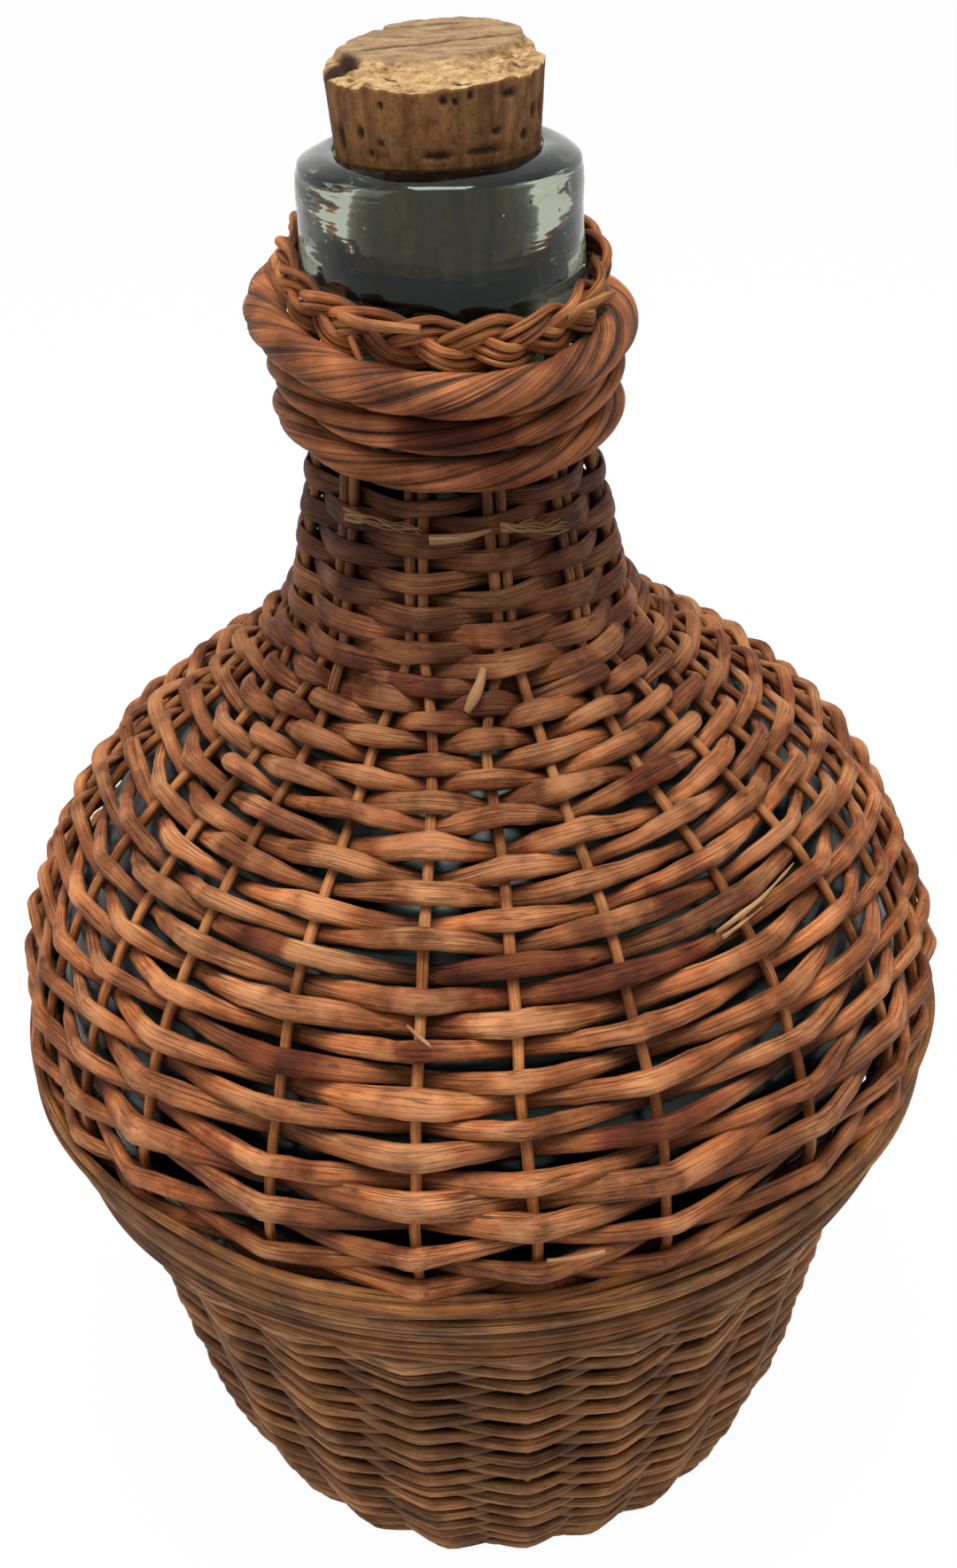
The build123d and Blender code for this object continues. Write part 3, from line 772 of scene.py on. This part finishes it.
# torn and broken bits by the row that they belong to: for each of its places, the azimuth, the height,
# how far it stands off the cover and how stout it is there; then its thickness, seed and bareness
scraps = (
    (2, "stub", ((-9.0, 0.2852, 0.0012, 1.0), (0.0, 0.2855, 0.0013, 1.1), (6.0, 0.2857, 0.0008, 0.9),
                 (12.0, 0.2861, 0.0, 0.6)), 0.0014, 841, 0.50),
    (11, "stub", ((6.0, 0.2582, 0.0002, 1.0), (4.4, 0.2562, 0.0020, 1.2), (2.2, 0.2538, 0.0026, 1.0),
                  (0.4, 0.2518, 0.0020, 0.6)), 0.0016, 842, 0.62),
    (24, "splinter", ((33.2, 0.2146, 0.0016, 0.8), (38.5, 0.2160, 0.0034, 1.0), (44.0, 0.2174, 0.0046, 0.8),
                      (49.5, 0.2186, 0.0054, 0.3)), 0.0011, 843, 1.0),
    (24, "splinter", ((33.8, 0.2136, 0.0016, 0.9), (37.5, 0.2146, 0.0028, 0.8), (41.0, 0.2154, 0.0034, 0.3)),
     0.0009, 844, 1.0),
    (26, "splinter", ((-8.6, 0.2098, 0.0018, 0.5), (-7.0, 0.2078, 0.0014, 1.0), (-5.6, 0.2062, 0.0008, 0.8)),
     0.0009, 845, 1.0),
    (35, "splinter", ((5.6, 0.1662, 0.0016, 0.7), (8.6, 0.1660, 0.0020, 1.0), (11.4, 0.1659, 0.0014, 0.6)),
     0.0012, 846, 1.0))
loose_pieces = [(2, fibre) for fibre in frayed("tuft", cover_skin, -40.0, -13.0, 0.2885, 0.0015, 10, 810)]
loose_pieces += [(3, fibre) for fibre in frayed("tuft", cover_skin, 16.0, 40.0, 0.2868, 0.0035, 9, 830)]
loose_pieces += [(row, loose_end(name, cover_skin, *scrap)) for row, name, *scrap in scraps]
# dark patches of bark by row: azimuth, height, half the width in degrees and half the height
bark_patches = {23: ((-31, 0.2185, 5.0, 0.0045), (2, 0.2190, 12.5, 0.0055)),
                24: ((21, 0.2140, 12.0, 0.0055),), 10: ((-14, 0.2560, 9, 0.0040),),
                30: ((20, 0.1880, 8, 0.0045),), 17: ((38, 0.2360, 7, 0.0040),),
                27: ((-24, 0.2020, 7, 0.0045),)}
tucked_drop = 0.0046            # each of the tucked-in rows under the last one lies this much lower
middles = []
for index, row in enumerate(rows):
    wide, thick = weaver_size(index)
    swing = stake_thick * 0.5 + thick * 0.5
    slope = row_slopes[index]
    middle = row_skins[index] - (swing + thick * 0.5) * math.cos(slope)
    middle_height = row_heights[index]
    middles.append((middle, middle_height))
    azimuths = upright_azimuths(index, middle)
    turns = [passing(index, upright) for upright in range(stake_count)]
    woven = [woven_row(row + "_rod", middle, middle_height, slope, azimuths, turns, swing, wide, thick,
                       index + 1, 0.00050 + 0.00045 * fans[index], fat=0.06 + 0.06 * fans[index],
                       slim=0.20 * fans[index])]
    if row == rows[-1]:
        for layer in (1, 2):
            turns = [-sign for sign in turns]
            woven.append(woven_row("tucked_row", middle - 0.0009 * layer ** 2,
                                   middle_height - layer * tucked_drop, slope, azimuths, turns, swing, wide,
                                   thick, index + 1 + layer, 0.0009, fat=0.12, slim=0.20))
    weaver = joined(row + "_rod", woven + [piece for at, piece in loose_pieces if at == index])
    lumpy(weaver, 0.00050 * fans[index], 0.0055, index)
    marked_depth(weaver, cover_skin, cover_depth)
    if index in bark_patches:
        stained(weaver, bark_patches[index])
    weaver.data.materials.append(belly_willow)
    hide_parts(row)
    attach(weaver, "root")

stakes_low, stakes_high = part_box("upper_stakes")
stakes = []
for upright in range(stake_count):
    spots = []
    top_radius = middles[0][0] - 0.0006
    top_azimuth = upright_azimuths(0, top_radius)[upright]
    for drop in (0.0, 0.010, 0.022):
        spots.append((around(top_radius, top_azimuth, stakes_high.z - drop), 0, 0.95))
    for index, (middle, height) in enumerate(middles):
        slope = row_slopes[index]
        out = -0.00035 * passing(index, upright)
        spots.append((around(middle + out * math.cos(slope), upright_azimuths(index, middle)[upright],
                             height + out * math.sin(slope)), 0, 1 + 0.08 * wander(upright, index / 3)))
    radius, height = middles[-1]
    for share in (0.3, 0.65, 1.0):
        spots.append((around(radius - 0.0105 * share ** 1.5, upright_azimuths(len(rows) - 1, radius)[upright],
                             height + (stakes_low.z - height) * share), 0, 1))
    stakes.append(laid_rod("upright", spots, stake_thick * 1.12, stake_thick, upright * 0.29, closed=False))
stakes = joined("upper_stakes_rods", stakes)
marked_depth(stakes, cover_skin, cover_depth, 0.0020)
stakes.data.materials.append(stake_willow)
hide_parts("upper_stakes")
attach(stakes, "root")

# Belt
# Thin yellowish rods laid close together, several deep, over the rim of the basket and the feet of the
# uprights. They sag and cross a little, and the top ones wander into the weave above.
belt_willow = willow("ochre_belt_willow", (0.240, 0.098, 0.030), (0.45, 0.205, 0.068),
                     (0.028, 0.011, 0.004), 1.0, bark=0.2, short=1.6)
pale_willow = willow("pale_belt_willow", (0.36, 0.172, 0.057), (0.56, 0.30, 0.112),
                     (0.040, 0.017, 0.006), 1.0, bark=0.2, short=1.6)
belt_rod_thick = 0.0024
belt_strand_drop = 0.00235      # from one strand to the next below it
belt_steps = 72
deep_belts = 2                  # the top ones are three strands deep, and the others two
pale_belts = (1, 2)
belts = sorted(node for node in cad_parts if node.startswith("belt_rod_"))
for index, belt in enumerate(belts):
    low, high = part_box(belt)
    strands = []
    for strand in range(3 if index < deep_belts else 2):
        number = index * 2 + strand
        seed = 300 + number + 20 * strand
        loose = math.exp(-number / 2.6)
        height = (low.z + high.z) / 2 + (0.5 - strand) * belt_strand_drop
        spots = []
        for step in range(belt_steps):
            out = (0.0005 + 0.0012 * loose) * wander(seed, step / 4.1)
            lift = wander(seed + 40, step / 5.3) + 0.5 * wander(seed + 44, step / 13)
            place = around(high.x - belt_rod_thick * 0.6 + out, 180 + step * 360 / belt_steps,
                           height + (0.0006 + 0.0026 * loose) * lift)
            spots.append((place, 0.2, 1 + 0.22 * wander(seed + 60, step / 6.0)))
        strands.append(laid_rod("belt_strand", spots, 0.0027 + 0.0004 * loose, belt_rod_thick, 0.17 * seed))
    strands = joined(belt + "_strands", strands)
    stored(strands, "depth", open_depth)
    strands.data.materials.append(pale_willow if index in pale_belts else belt_willow)
    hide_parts(belt)
    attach(strands, "root")

# Plait round the collar
# Three strands of three thin rods each, plaited flat round the foot of the glass collar to lock the cover.
# A few of the rods' ends stick out of it.
plait_willow = willow("plait_willow", (0.34, 0.120, 0.040), (0.56, 0.25, 0.095),
                      (0.020, 0.008, 0.004), 1.2, bark=0.3, short=1.5)
plait_repeats = 6
plait_steps = plait_repeats * 16
plait_level = 0.3300
plait_middle = 0.0316           # radius of the plait's middle
plait_surface = 0.0332          # radius that the loose ends lie on
plait_outside = 0.0338
plait_hollows = 0.0048          # the painted shade is darkest this far below the outside
# how far each rod lies aside from its strand's middle, and its thickness
plait_bundle = ((-0.0013, 0.0019), (0.0006, 0.0017), (0.0020, 0.0013))
# loose ends: azimuth, height, how far each place stands off and how stout it is; then thickness and seed
plait_ends = (
    (((-37.0, 0.3292, 0.0, 0.9), (-29.0, 0.3284, 0.0012, 1.1), (-19.0, 0.3284, 0.0014, 1.1),
      (-8.0, 0.3281, 0.0012, 1.0)), 0.0018, 851),
    (((44.0, 0.3262, 0.0, 0.8), (54.0, 0.3270, 0.0012, 1.0), (64.0, 0.3278, 0.0034, 0.8)), 0.0016, 852),
    (((-33.0, 0.3252, 0.0002, 0.8), (-30.0, 0.3232, 0.0014, 1.0), (-28.0, 0.3212, 0.0016, 0.8)), 0.0015, 853))
plait_rods = []


def plait_line(strand, step):
    """A strand's centre: a figure of eight across the plait, which sags at the front."""
    share = step / plait_steps
    phase = 2 * math.pi * (plait_repeats * share + strand / 3 + 0.05 * wander(strand + 40, step / 17))
    azimuth = 360 * share
    radius = plait_middle + 0.0014 * math.sin(2 * phase)
    hang = 0.0060 * math.cos(math.radians(azimuth)) + 0.0019 * math.sin(math.radians(azimuth))
    return around(radius, azimuth, plait_level - hang + 0.0030 * math.sin(phase))


for strand in range(3):
    for rod, (aside, stout) in enumerate(plait_bundle):
        spots = []
        for step in range(plait_steps):
            place = plait_line(strand, step)
            way = (plait_line(strand, step + 1) - plait_line(strand, step - 1)).normalized()
            out = Vector((place.x, place.y, 0)).normalized()
            side = way.cross(out).normalized()
            place += side * (aside + 0.0006 * wander(strand * 3 + rod + 7, step / 9))
            place += out * 0.0005 * wander(strand * 3 + rod + 19, step / 7)
            spots.append((place, 0, 1 + 0.16 * wander(strand + rod * 5, step / 6)))
        plait_rods.append(laid_rod("plait_rod", spots, stout, stout, 0.41 * strand + 0.13 * rod, smooth=2))
for spots, thick, seed in plait_ends:
    plait_rods.append(loose_end("plait_end", lambda height: plait_surface, spots, thick, seed, 0.14))
plait = joined("neck_plait_rods", plait_rods)
marked_depth(plait, lambda height: plait_outside, plait_hollows)
plait.data.materials.append(plait_willow)
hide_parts("neck_plait")
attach(plait, "root")

# Wound rod on the neck
# A thick twisted willow rod, wound nearly three turns under the plait. Its fibres lie in a long twist,
# so it is four fat strands that melt into one another.
rope_start = -157.5             # azimuth
rope_close = 0.0326             # radius of the rod's middle where it lies closest
rope_steps = 6                  # in each eighth of a turn
rope_tight = 0.0046             # radius where the strands lie tight, and below it where they are loose
rope_loose = 0.0037
rope_plain = 0.00375            # radius of a rod that would touch the neck where it lies closest
rope_twist = 0.056              # length of one turn of the fibres
rope_slack_twist = 0.034        # and how much longer it is where the strands are loose
# one entry for each eighth of a turn from the back left: height, and how far the rod stands off the neck
rope_eighths = ((0.3332, 0.0062), (0.3239, 0.0049), (0.3210, 0.0025), (0.3166, 0.0015), (0.3146, 0.0011),
                (0.3170, 0.0013), (0.3186, 0.0015), (0.3172, 0.0015), (0.3146, 0.0015), (0.3129, 0.0017),
                (0.3118, 0.0015), (0.3074, 0.0011), (0.3064, 0.0009), (0.3089, 0.0010), (0.3098, 0.0011),
                (0.3086, 0.0011), (0.3062, 0.0011), (0.3046, 0.0012), (0.3032, 0.0011), (0.2993, 0.0009),
                (0.2984, 0.0008), (0.3008, 0.0008), (0.3006, 0.0009), (0.2998, 0.0009))
rope_willow = willow("wound_willow", (0.310, 0.111, 0.040), (0.42, 0.178, 0.071),
                     (0.030, 0.011, 0.005), 0.25, 0.2, 0.3)


def rope_place(step):
    """The rope's centre, how loose its strands are and its radius, a sixth of an eighth turn at a time."""
    table = np.array(rope_eighths)
    share = step / rope_steps
    at = min(max(share, 0.0), len(table) - 1.0)
    before = min(int(at), len(table) - 2)
    ways = np.gradient(table, axis=0)
    height, stand = between(at - before, table[before], ways[before], table[before + 1], ways[before + 1])
    loose = np.interp(share, (0, 7, 9.5, 14, 17, 23), (0.0, 0.0, 0.9, 1.0, 0.5, 0.6))
    thick = np.interp(share, (0, 7, 9.5, 23), (rope_tight, rope_tight, rope_loose, rope_loose))
    radius = rope_close + stand + (thick - rope_plain)
    return around(radius, rope_start + 45 * share, height), loose, thick


rope_line = [rope_place(step) for step in range(-5, (len(rope_eighths) - 1) * rope_steps + 6)]
rope_strands = []
for strand in range(4):
    spots = []
    turn = 0.5 * math.pi * strand
    for step in range(1, len(rope_line) - 1):
        middle, loose, thick = rope_line[step]
        way = rope_line[step + 1][0] - rope_line[step - 1][0]
        turn -= 2 * math.pi * (way.length / 2) / (rope_twist + rope_slack_twist * loose)
        out = Vector((middle.x, middle.y, 0)).normalized()
        up = way.normalized().cross(out).normalized()
        apart = thick * (0.30 + 0.24 * loose) * (1 + 0.12 * wander(strand + 60, step / 9))
        place = middle + (out * math.cos(turn) + up * math.sin(turn)) * apart
        swell = (thick - apart) / rope_tight * (1 + 0.05 * wander(strand + 30, step / 6))
        spots.append((place, turn, swell))
    rope_strands.append(laid_rod("rope_strand", spots, 2 * rope_tight, 2 * rope_tight, 0.37 * strand,
                                 closed=False))
rope = joined("neck_rope_strands", rope_strands)
# The depth stored below gives painted shade in the creases between the strands, near the rod's middle.
rope_places = corners(rope.data)
rope_middles = np.array([tuple(middle) for middle, loose, thick in rope_line])
rope_looks = np.array([(loose, thick) for middle, loose, thick in rope_line])
rope_near = np.concatenate([((part[:, None, :] - rope_middles[None]) ** 2).sum(2).argmin(1)
                            for part in np.array_split(rope_places, 40)])
rope_ways = np.gradient(rope_middles, axis=0)
rope_ways /= np.linalg.norm(rope_ways, axis=1)[:, None]
rope_apart = rope_places - rope_middles[rope_near]
rope_apart -= (rope_apart * rope_ways[rope_near]).sum(1)[:, None] * rope_ways[rope_near]
rope_far = np.linalg.norm(rope_apart, axis=1) / rope_looks[rope_near, 1]
rope_inner = 0.87 - 0.22 * rope_looks[rope_near, 0]
stored(rope, "depth", np.clip((rope_far - rope_inner) / (1 - rope_inner) * 1.9, 0, 1) * 0.88)
stained(rope, ((1, 0.3078, 19, 0.0032),))
rope.data.materials.append(rope_willow)
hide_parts("neck_rope")
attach(rope, "root")

# Cork
# A tapered natural cork, pushed halfway in: grey-brown cracked top, a crumbled light edge, and long pits
# and streaks down its side.
cork_low, cork_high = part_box("cork")
cork_lip = 0.0200               # radius at the bottle's lip
cork_foot = 0.0185
cork_top = 0.0216
cork_full = glass_high.z + 0.0213
cork_slant = math.tan(math.radians(8.0))
cork_middle = cork_high.z - cork_high.x * cork_slant
cork_rings = 60                 # across the top
cork_levels = 66                # up the side
cork_turns = 300
cork_flat = 0.0182              # radius of the foot inside its edge
cork_rim_fall = 0.0003          # the top's edge is worn down by this much
pit_depth = 0.0010
wine_height = 0.0062            # the foot is stained dark up to here


def cork_radius(height):
    """The tapered side's radius at a height."""
    return float(np.interp(height, (cork_low.z, glass_high.z, cork_full), (cork_foot, cork_lip, cork_top)))


# how far out the whole part of the top reaches, for azimuths from the back left round the front
top_whole_azimuths = (-180, -150, -134, -116, -99, -88, -79, -62, -30, 0, 27, 52, 75, 92, 111, 122,
                      140, 160, 180)
top_whole_radii = (0.0194, 0.0182, 0.0176, 0.0186, 0.0186, 0.0154, 0.0126, 0.0079, 0.0056, 0.0048,
                   0.0050, 0.0073, 0.0082, 0.0103, 0.0183, 0.0206, 0.0214, 0.0200, 0.0194)
# pits in the side: azimuth, height, half-width in degrees, half-height
cork_pits = ((-44, 0.3593, 2.2, 0.0012), (-29, 0.3646, 1.4, 0.0007), (-31, 0.3578, 1.6, 0.0006),
             (-63, 0.3572, 4.0, 0.0026), (4, 0.3655, 2.0, 0.0009), (10, 0.3652, 1.6, 0.0005),
             (18, 0.3660, 1.4, 0.0008), (41, 0.3654, 5.0, 0.0009), (33, 0.3591, 3.0, 0.0007),
             (54, 0.3571, 3.0, 0.0010), (74, 0.3608, 3.0, 0.0022), (63, 0.3608, 2.4, 0.0016),
             (-38, 0.3557, 1.4, 0.0008), (0, 0.3557, 8.0, 0.0006), (26, 0.3559, 9.0, 0.0005),
             (80, 0.3554, 4.0, 0.0016), (150, 0.3620, 4.0, 0.0012), (-150, 0.3590, 3.0, 0.0018),
             (175, 0.3670, 6.0, 0.0008), (-110, 0.3630, 3.0, 0.0014), (118, 0.3580, 2.5, 0.0015))
# holes in the top: place to the right and back, half-width, half-depth and how far sunk
cork_holes = ((-0.0178, -0.0030, 0.0029, 0.0035, 0.0019), (0.0168, -0.0066, 0.0017, 0.0018, 0.0024),
              (-0.0085, -0.0125, 0.0013, 0.0007, 0.0012), (0.0050, -0.0150, 0.0016, 0.0007, 0.0010),
              (0.0110, -0.0100, 0.0012, 0.0007, 0.0012))
# cracks across the top: place back, slope, left end, right end and half-width
cork_cracks = ((0.0051, 0.20, -0.0150, 0.0190, 0.00055), (0.0156, 0.10, -0.0125, 0.0060, 0.00048),
               (0.0118, 0.16, -0.0020, 0.0120, 0.00030))


def cork_surface(across, back):
    """The height of the cork's top and how broken and how dark it is there."""
    plane = cork_middle + back * cork_slant
    azimuth = math.degrees(math.atan2(across, -back))
    past = math.hypot(across, back) - float(np.interp(azimuth, top_whole_azimuths, top_whole_radii))
    past += 0.0009 * rough(across * 330, back * 330, 1)
    broken = clamped(past / 0.0009)
    behind = clamped(back / 0.005)
    left, right = max(0.0, (-across - 0.011) / 0.0105), max(0.0, (across - 0.010) / 0.0115)
    crumbs = (rough(across * 130, back * 230, 4) + 0.8 * rough(across * 300, back * 520, 7)
              + 0.4 * rough(across * 800, back * 1100, 3))
    rim = clamped((math.hypot(across, back) - 0.0165) / 0.0040)
    fall = 0.0011 + 0.0016 * crumbs * (1 - 0.62 * rim)
    fall += (1 - behind) * (0.0026 * left ** 1.4 + 0.0014 * right ** 1.4)
    fall -= 0.0012 * rim * (1 - behind)
    fall += behind * max(0.0, past) * 0.55
    dark = 0.0
    height = plane - broken * fall - 0.00012 * (1 - broken) * rough(across * 500, back * 500, 2)
    # painted shade: each hole's middle is painted dark, more so the deeper it is sunk
    for hole_across, hole_back, half_wide, half_deep, sunk in cork_holes:
        away = ((across - hole_across) / half_wide) ** 2 + ((back - hole_back) / half_deep) ** 2
        height -= sunk * math.exp(-away ** 1.5)
        dark = max(dark, min(1.0, 2.4 * math.exp(-(away / 1.35) ** 2) * min(1.0, sunk / 0.0018)))
    for start, slope, left_end, right_end, wide in cork_cracks:
        middle = start + slope * across + 0.0007 * rough(across * 190, start * 900, 0)
        ends = clamped(min(across - left_end, right_end - across) / 0.0020)
        cut = math.exp(-((back - middle) / wide) ** 2) * ends * (1 - broken)
        cut *= 0.5 + 0.5 * clamped(0.5 + 1.6 * rough(across * 260, start * 700, 5))
        height -= 0.0010 * cut
        dark = max(dark, min(0.95, 1.7 * cut))
    return height, broken, dark


cork_outline = [(radius, cork_low.z) for radius in np.linspace(0.0, cork_flat, 6)]
cork_outline += [(cork_radius(height), height)
                 for height in np.linspace(cork_low.z + 0.0004, cork_middle, cork_levels)]
cork_outline += [(radius, cork_full) for radius in np.linspace(cork_top, 0.0, cork_rings)]
cork = spun("cork_stopper", cork_outline, cork_turns, 0.00001)
cork_marks = []
for vertex in cork.data.vertices:
    place = vertex.co.copy()
    radius = math.hypot(place.x, place.y)
    azimuth = math.atan2(place.x, -place.y)
    if place.z > cork_full - 0.00001:
        shrink = cork_radius(cork_middle + place.y * cork_slant) / cork_top
        across, back = place.x * shrink, place.y * shrink
        height, broken, dark = cork_surface(across, back)
        rim = min(1.0, max(0.0, radius / cork_top - 0.955) / 0.045)
        rounded = 1 - 0.010 * rim ** 2
        vertex.co = Vector((across * rounded, back * rounded, height - cork_rim_fall * rim ** 2))
        cork_marks.append((1.0, broken, dark, 0.0))
        continue
    if radius < cork_flat + 0.0002 and place.z < cork_low.z + 0.0001:
        cork_marks.append((0.0, 0.0, 0.0, 1.0))
        continue
    top_radius = cork_radius(cork_middle - math.cos(azimuth) * 0.021 * cork_slant)
    top, broken, dark = cork_surface(top_radius * math.sin(azimuth), -top_radius * math.cos(azimuth))
    share = (place.z - cork_low.z) / (cork_middle - cork_low.z)
    height = cork_low.z + (top - cork_rim_fall - cork_low.z) * share
    radius = cork_radius(height)
    above = clamped((height - glass_high.z) / 0.002)
    radius += 0.00022 * rough(azimuth * 11, height * 55, 3) * above
    radius += 0.00010 * rough(azimuth * 60, height * 500, 8) * above
    darkest = 0.0
    for pit, level, half_wide, half_tall in cork_pits:
        away = ((math.degrees(azimuth) - pit) / half_wide) ** 2 + ((height - level) / half_tall) ** 2
        if away < 4:
            ragged = away * (1 + 0.5 * rough(azimuth * 40, height * 1500, pit))
            radius -= pit_depth * math.exp(-ragged ** 1.5)
            darkest = max(darkest, min(1.0, 1.3 * math.exp(-ragged ** 2)))
    dark = max(darkest, dark * max(0.0, 1 - (top - height) / 0.0012))
    vertex.co = Vector((radius * math.sin(azimuth), -radius * math.cos(azimuth), height))
    wine = (cork_low.z + wine_height - height) / 0.0006 + 1.2 * rough(azimuth * 3, height * 200, 6)
    cork_marks.append((0.0, broken, dark, clamped(wine)))
for label, values in zip(("upper", "broken", "dark", "wine"), zip(*cork_marks)):
    stored(cork, label, values)

cork_skin, cork_tree, cork_shader = shaded("old_cork", {"Roughness": 0.85, "Specular IOR Level": 0.25})
cork_place = object_place(cork_tree)


def ramp(tree, value, stops):
    """Colours along a value."""
    made = add_node(tree, "ValToRGB", {"Fac": value})
    while len(made.color_ramp.elements) < len(stops):
        made.color_ramp.elements.new(0.5)
    for element, (position, colour) in zip(made.color_ramp.elements, stops):
        element.position = position
        element.color = (*colour, 1)
    return made.outputs["Color"]


cork_streak = clouds(cork_tree, cork_place, (300, 300, 14), 3.0)
cork_mottle = clouds(cork_tree, cork_place, (420, 420, 300), 5.0, 0.65)
cork_speckle = clouds(cork_tree, cork_place, (1500, 1500, 1100), 3.0)
sawn_grain = clouds(cork_tree, cork_place, (200, 560, 300), 6.0, 0.6)
fresh_grain = clouds(cork_tree, cork_place, (260, 620, 800), 5.0, 0.6)
cork_side = ramp(cork_tree, cork_streak, (
    (0.34, (0.090, 0.034, 0.010)), (0.46, (0.145, 0.062, 0.019)), (0.66, (0.205, 0.094, 0.031))))
cork_side = mixed(cork_tree, "MULTIPLY", 1.0, cork_side, ramp(cork_tree, cork_mottle, (
    (0.34, (0.55, 0.50, 0.46)), (0.50, (1.0, 1.0, 1.0)), (0.70, (1.35, 1.35, 1.30)))))
cork_sawn = ramp(cork_tree, sawn_grain, (
    (0.30, (0.14, 0.080, 0.038)), (0.48, (0.25, 0.158, 0.080)), (0.72, (0.35, 0.235, 0.126))))
cork_fresh = ramp(cork_tree, fresh_grain, (
    (0.37, (0.155, 0.078, 0.026)), (0.46, (0.35, 0.212, 0.088)), (0.66, (0.50, 0.340, 0.170))))
cork_face = mixed(cork_tree, "MIX", attribute(cork_tree, "broken"), cork_sawn, cork_fresh)
cork_tint = mixed(cork_tree, "MIX", attribute(cork_tree, "upper"), cork_side, cork_face)
cork_tint = mixed(cork_tree, "MULTIPLY", 1.0, cork_tint, ramp(cork_tree, cork_speckle, (
    (0.36, (0.84, 0.81, 0.78)), (0.52, (1.03, 1.03, 1.03)))))
# the dark colour is painted shade in the holes of the top, and the dark of the cracks and pits
for label, colour in (("dark", (0.030, 0.011, 0.006, 1)), ("wine", (0.012, 0.005, 0.003, 1))):
    cork_tint = mixed(cork_tree, "MIX", attribute(cork_tree, label), cork_tint, colour)
feed(cork_shader, {"Base Color": cork_tint, "Normal": bumped(cork_tree, cork_mottle, 0.7, 0.0004)})
cork.data.materials.append(cork_skin)
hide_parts("cork")
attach(cork, "cork")
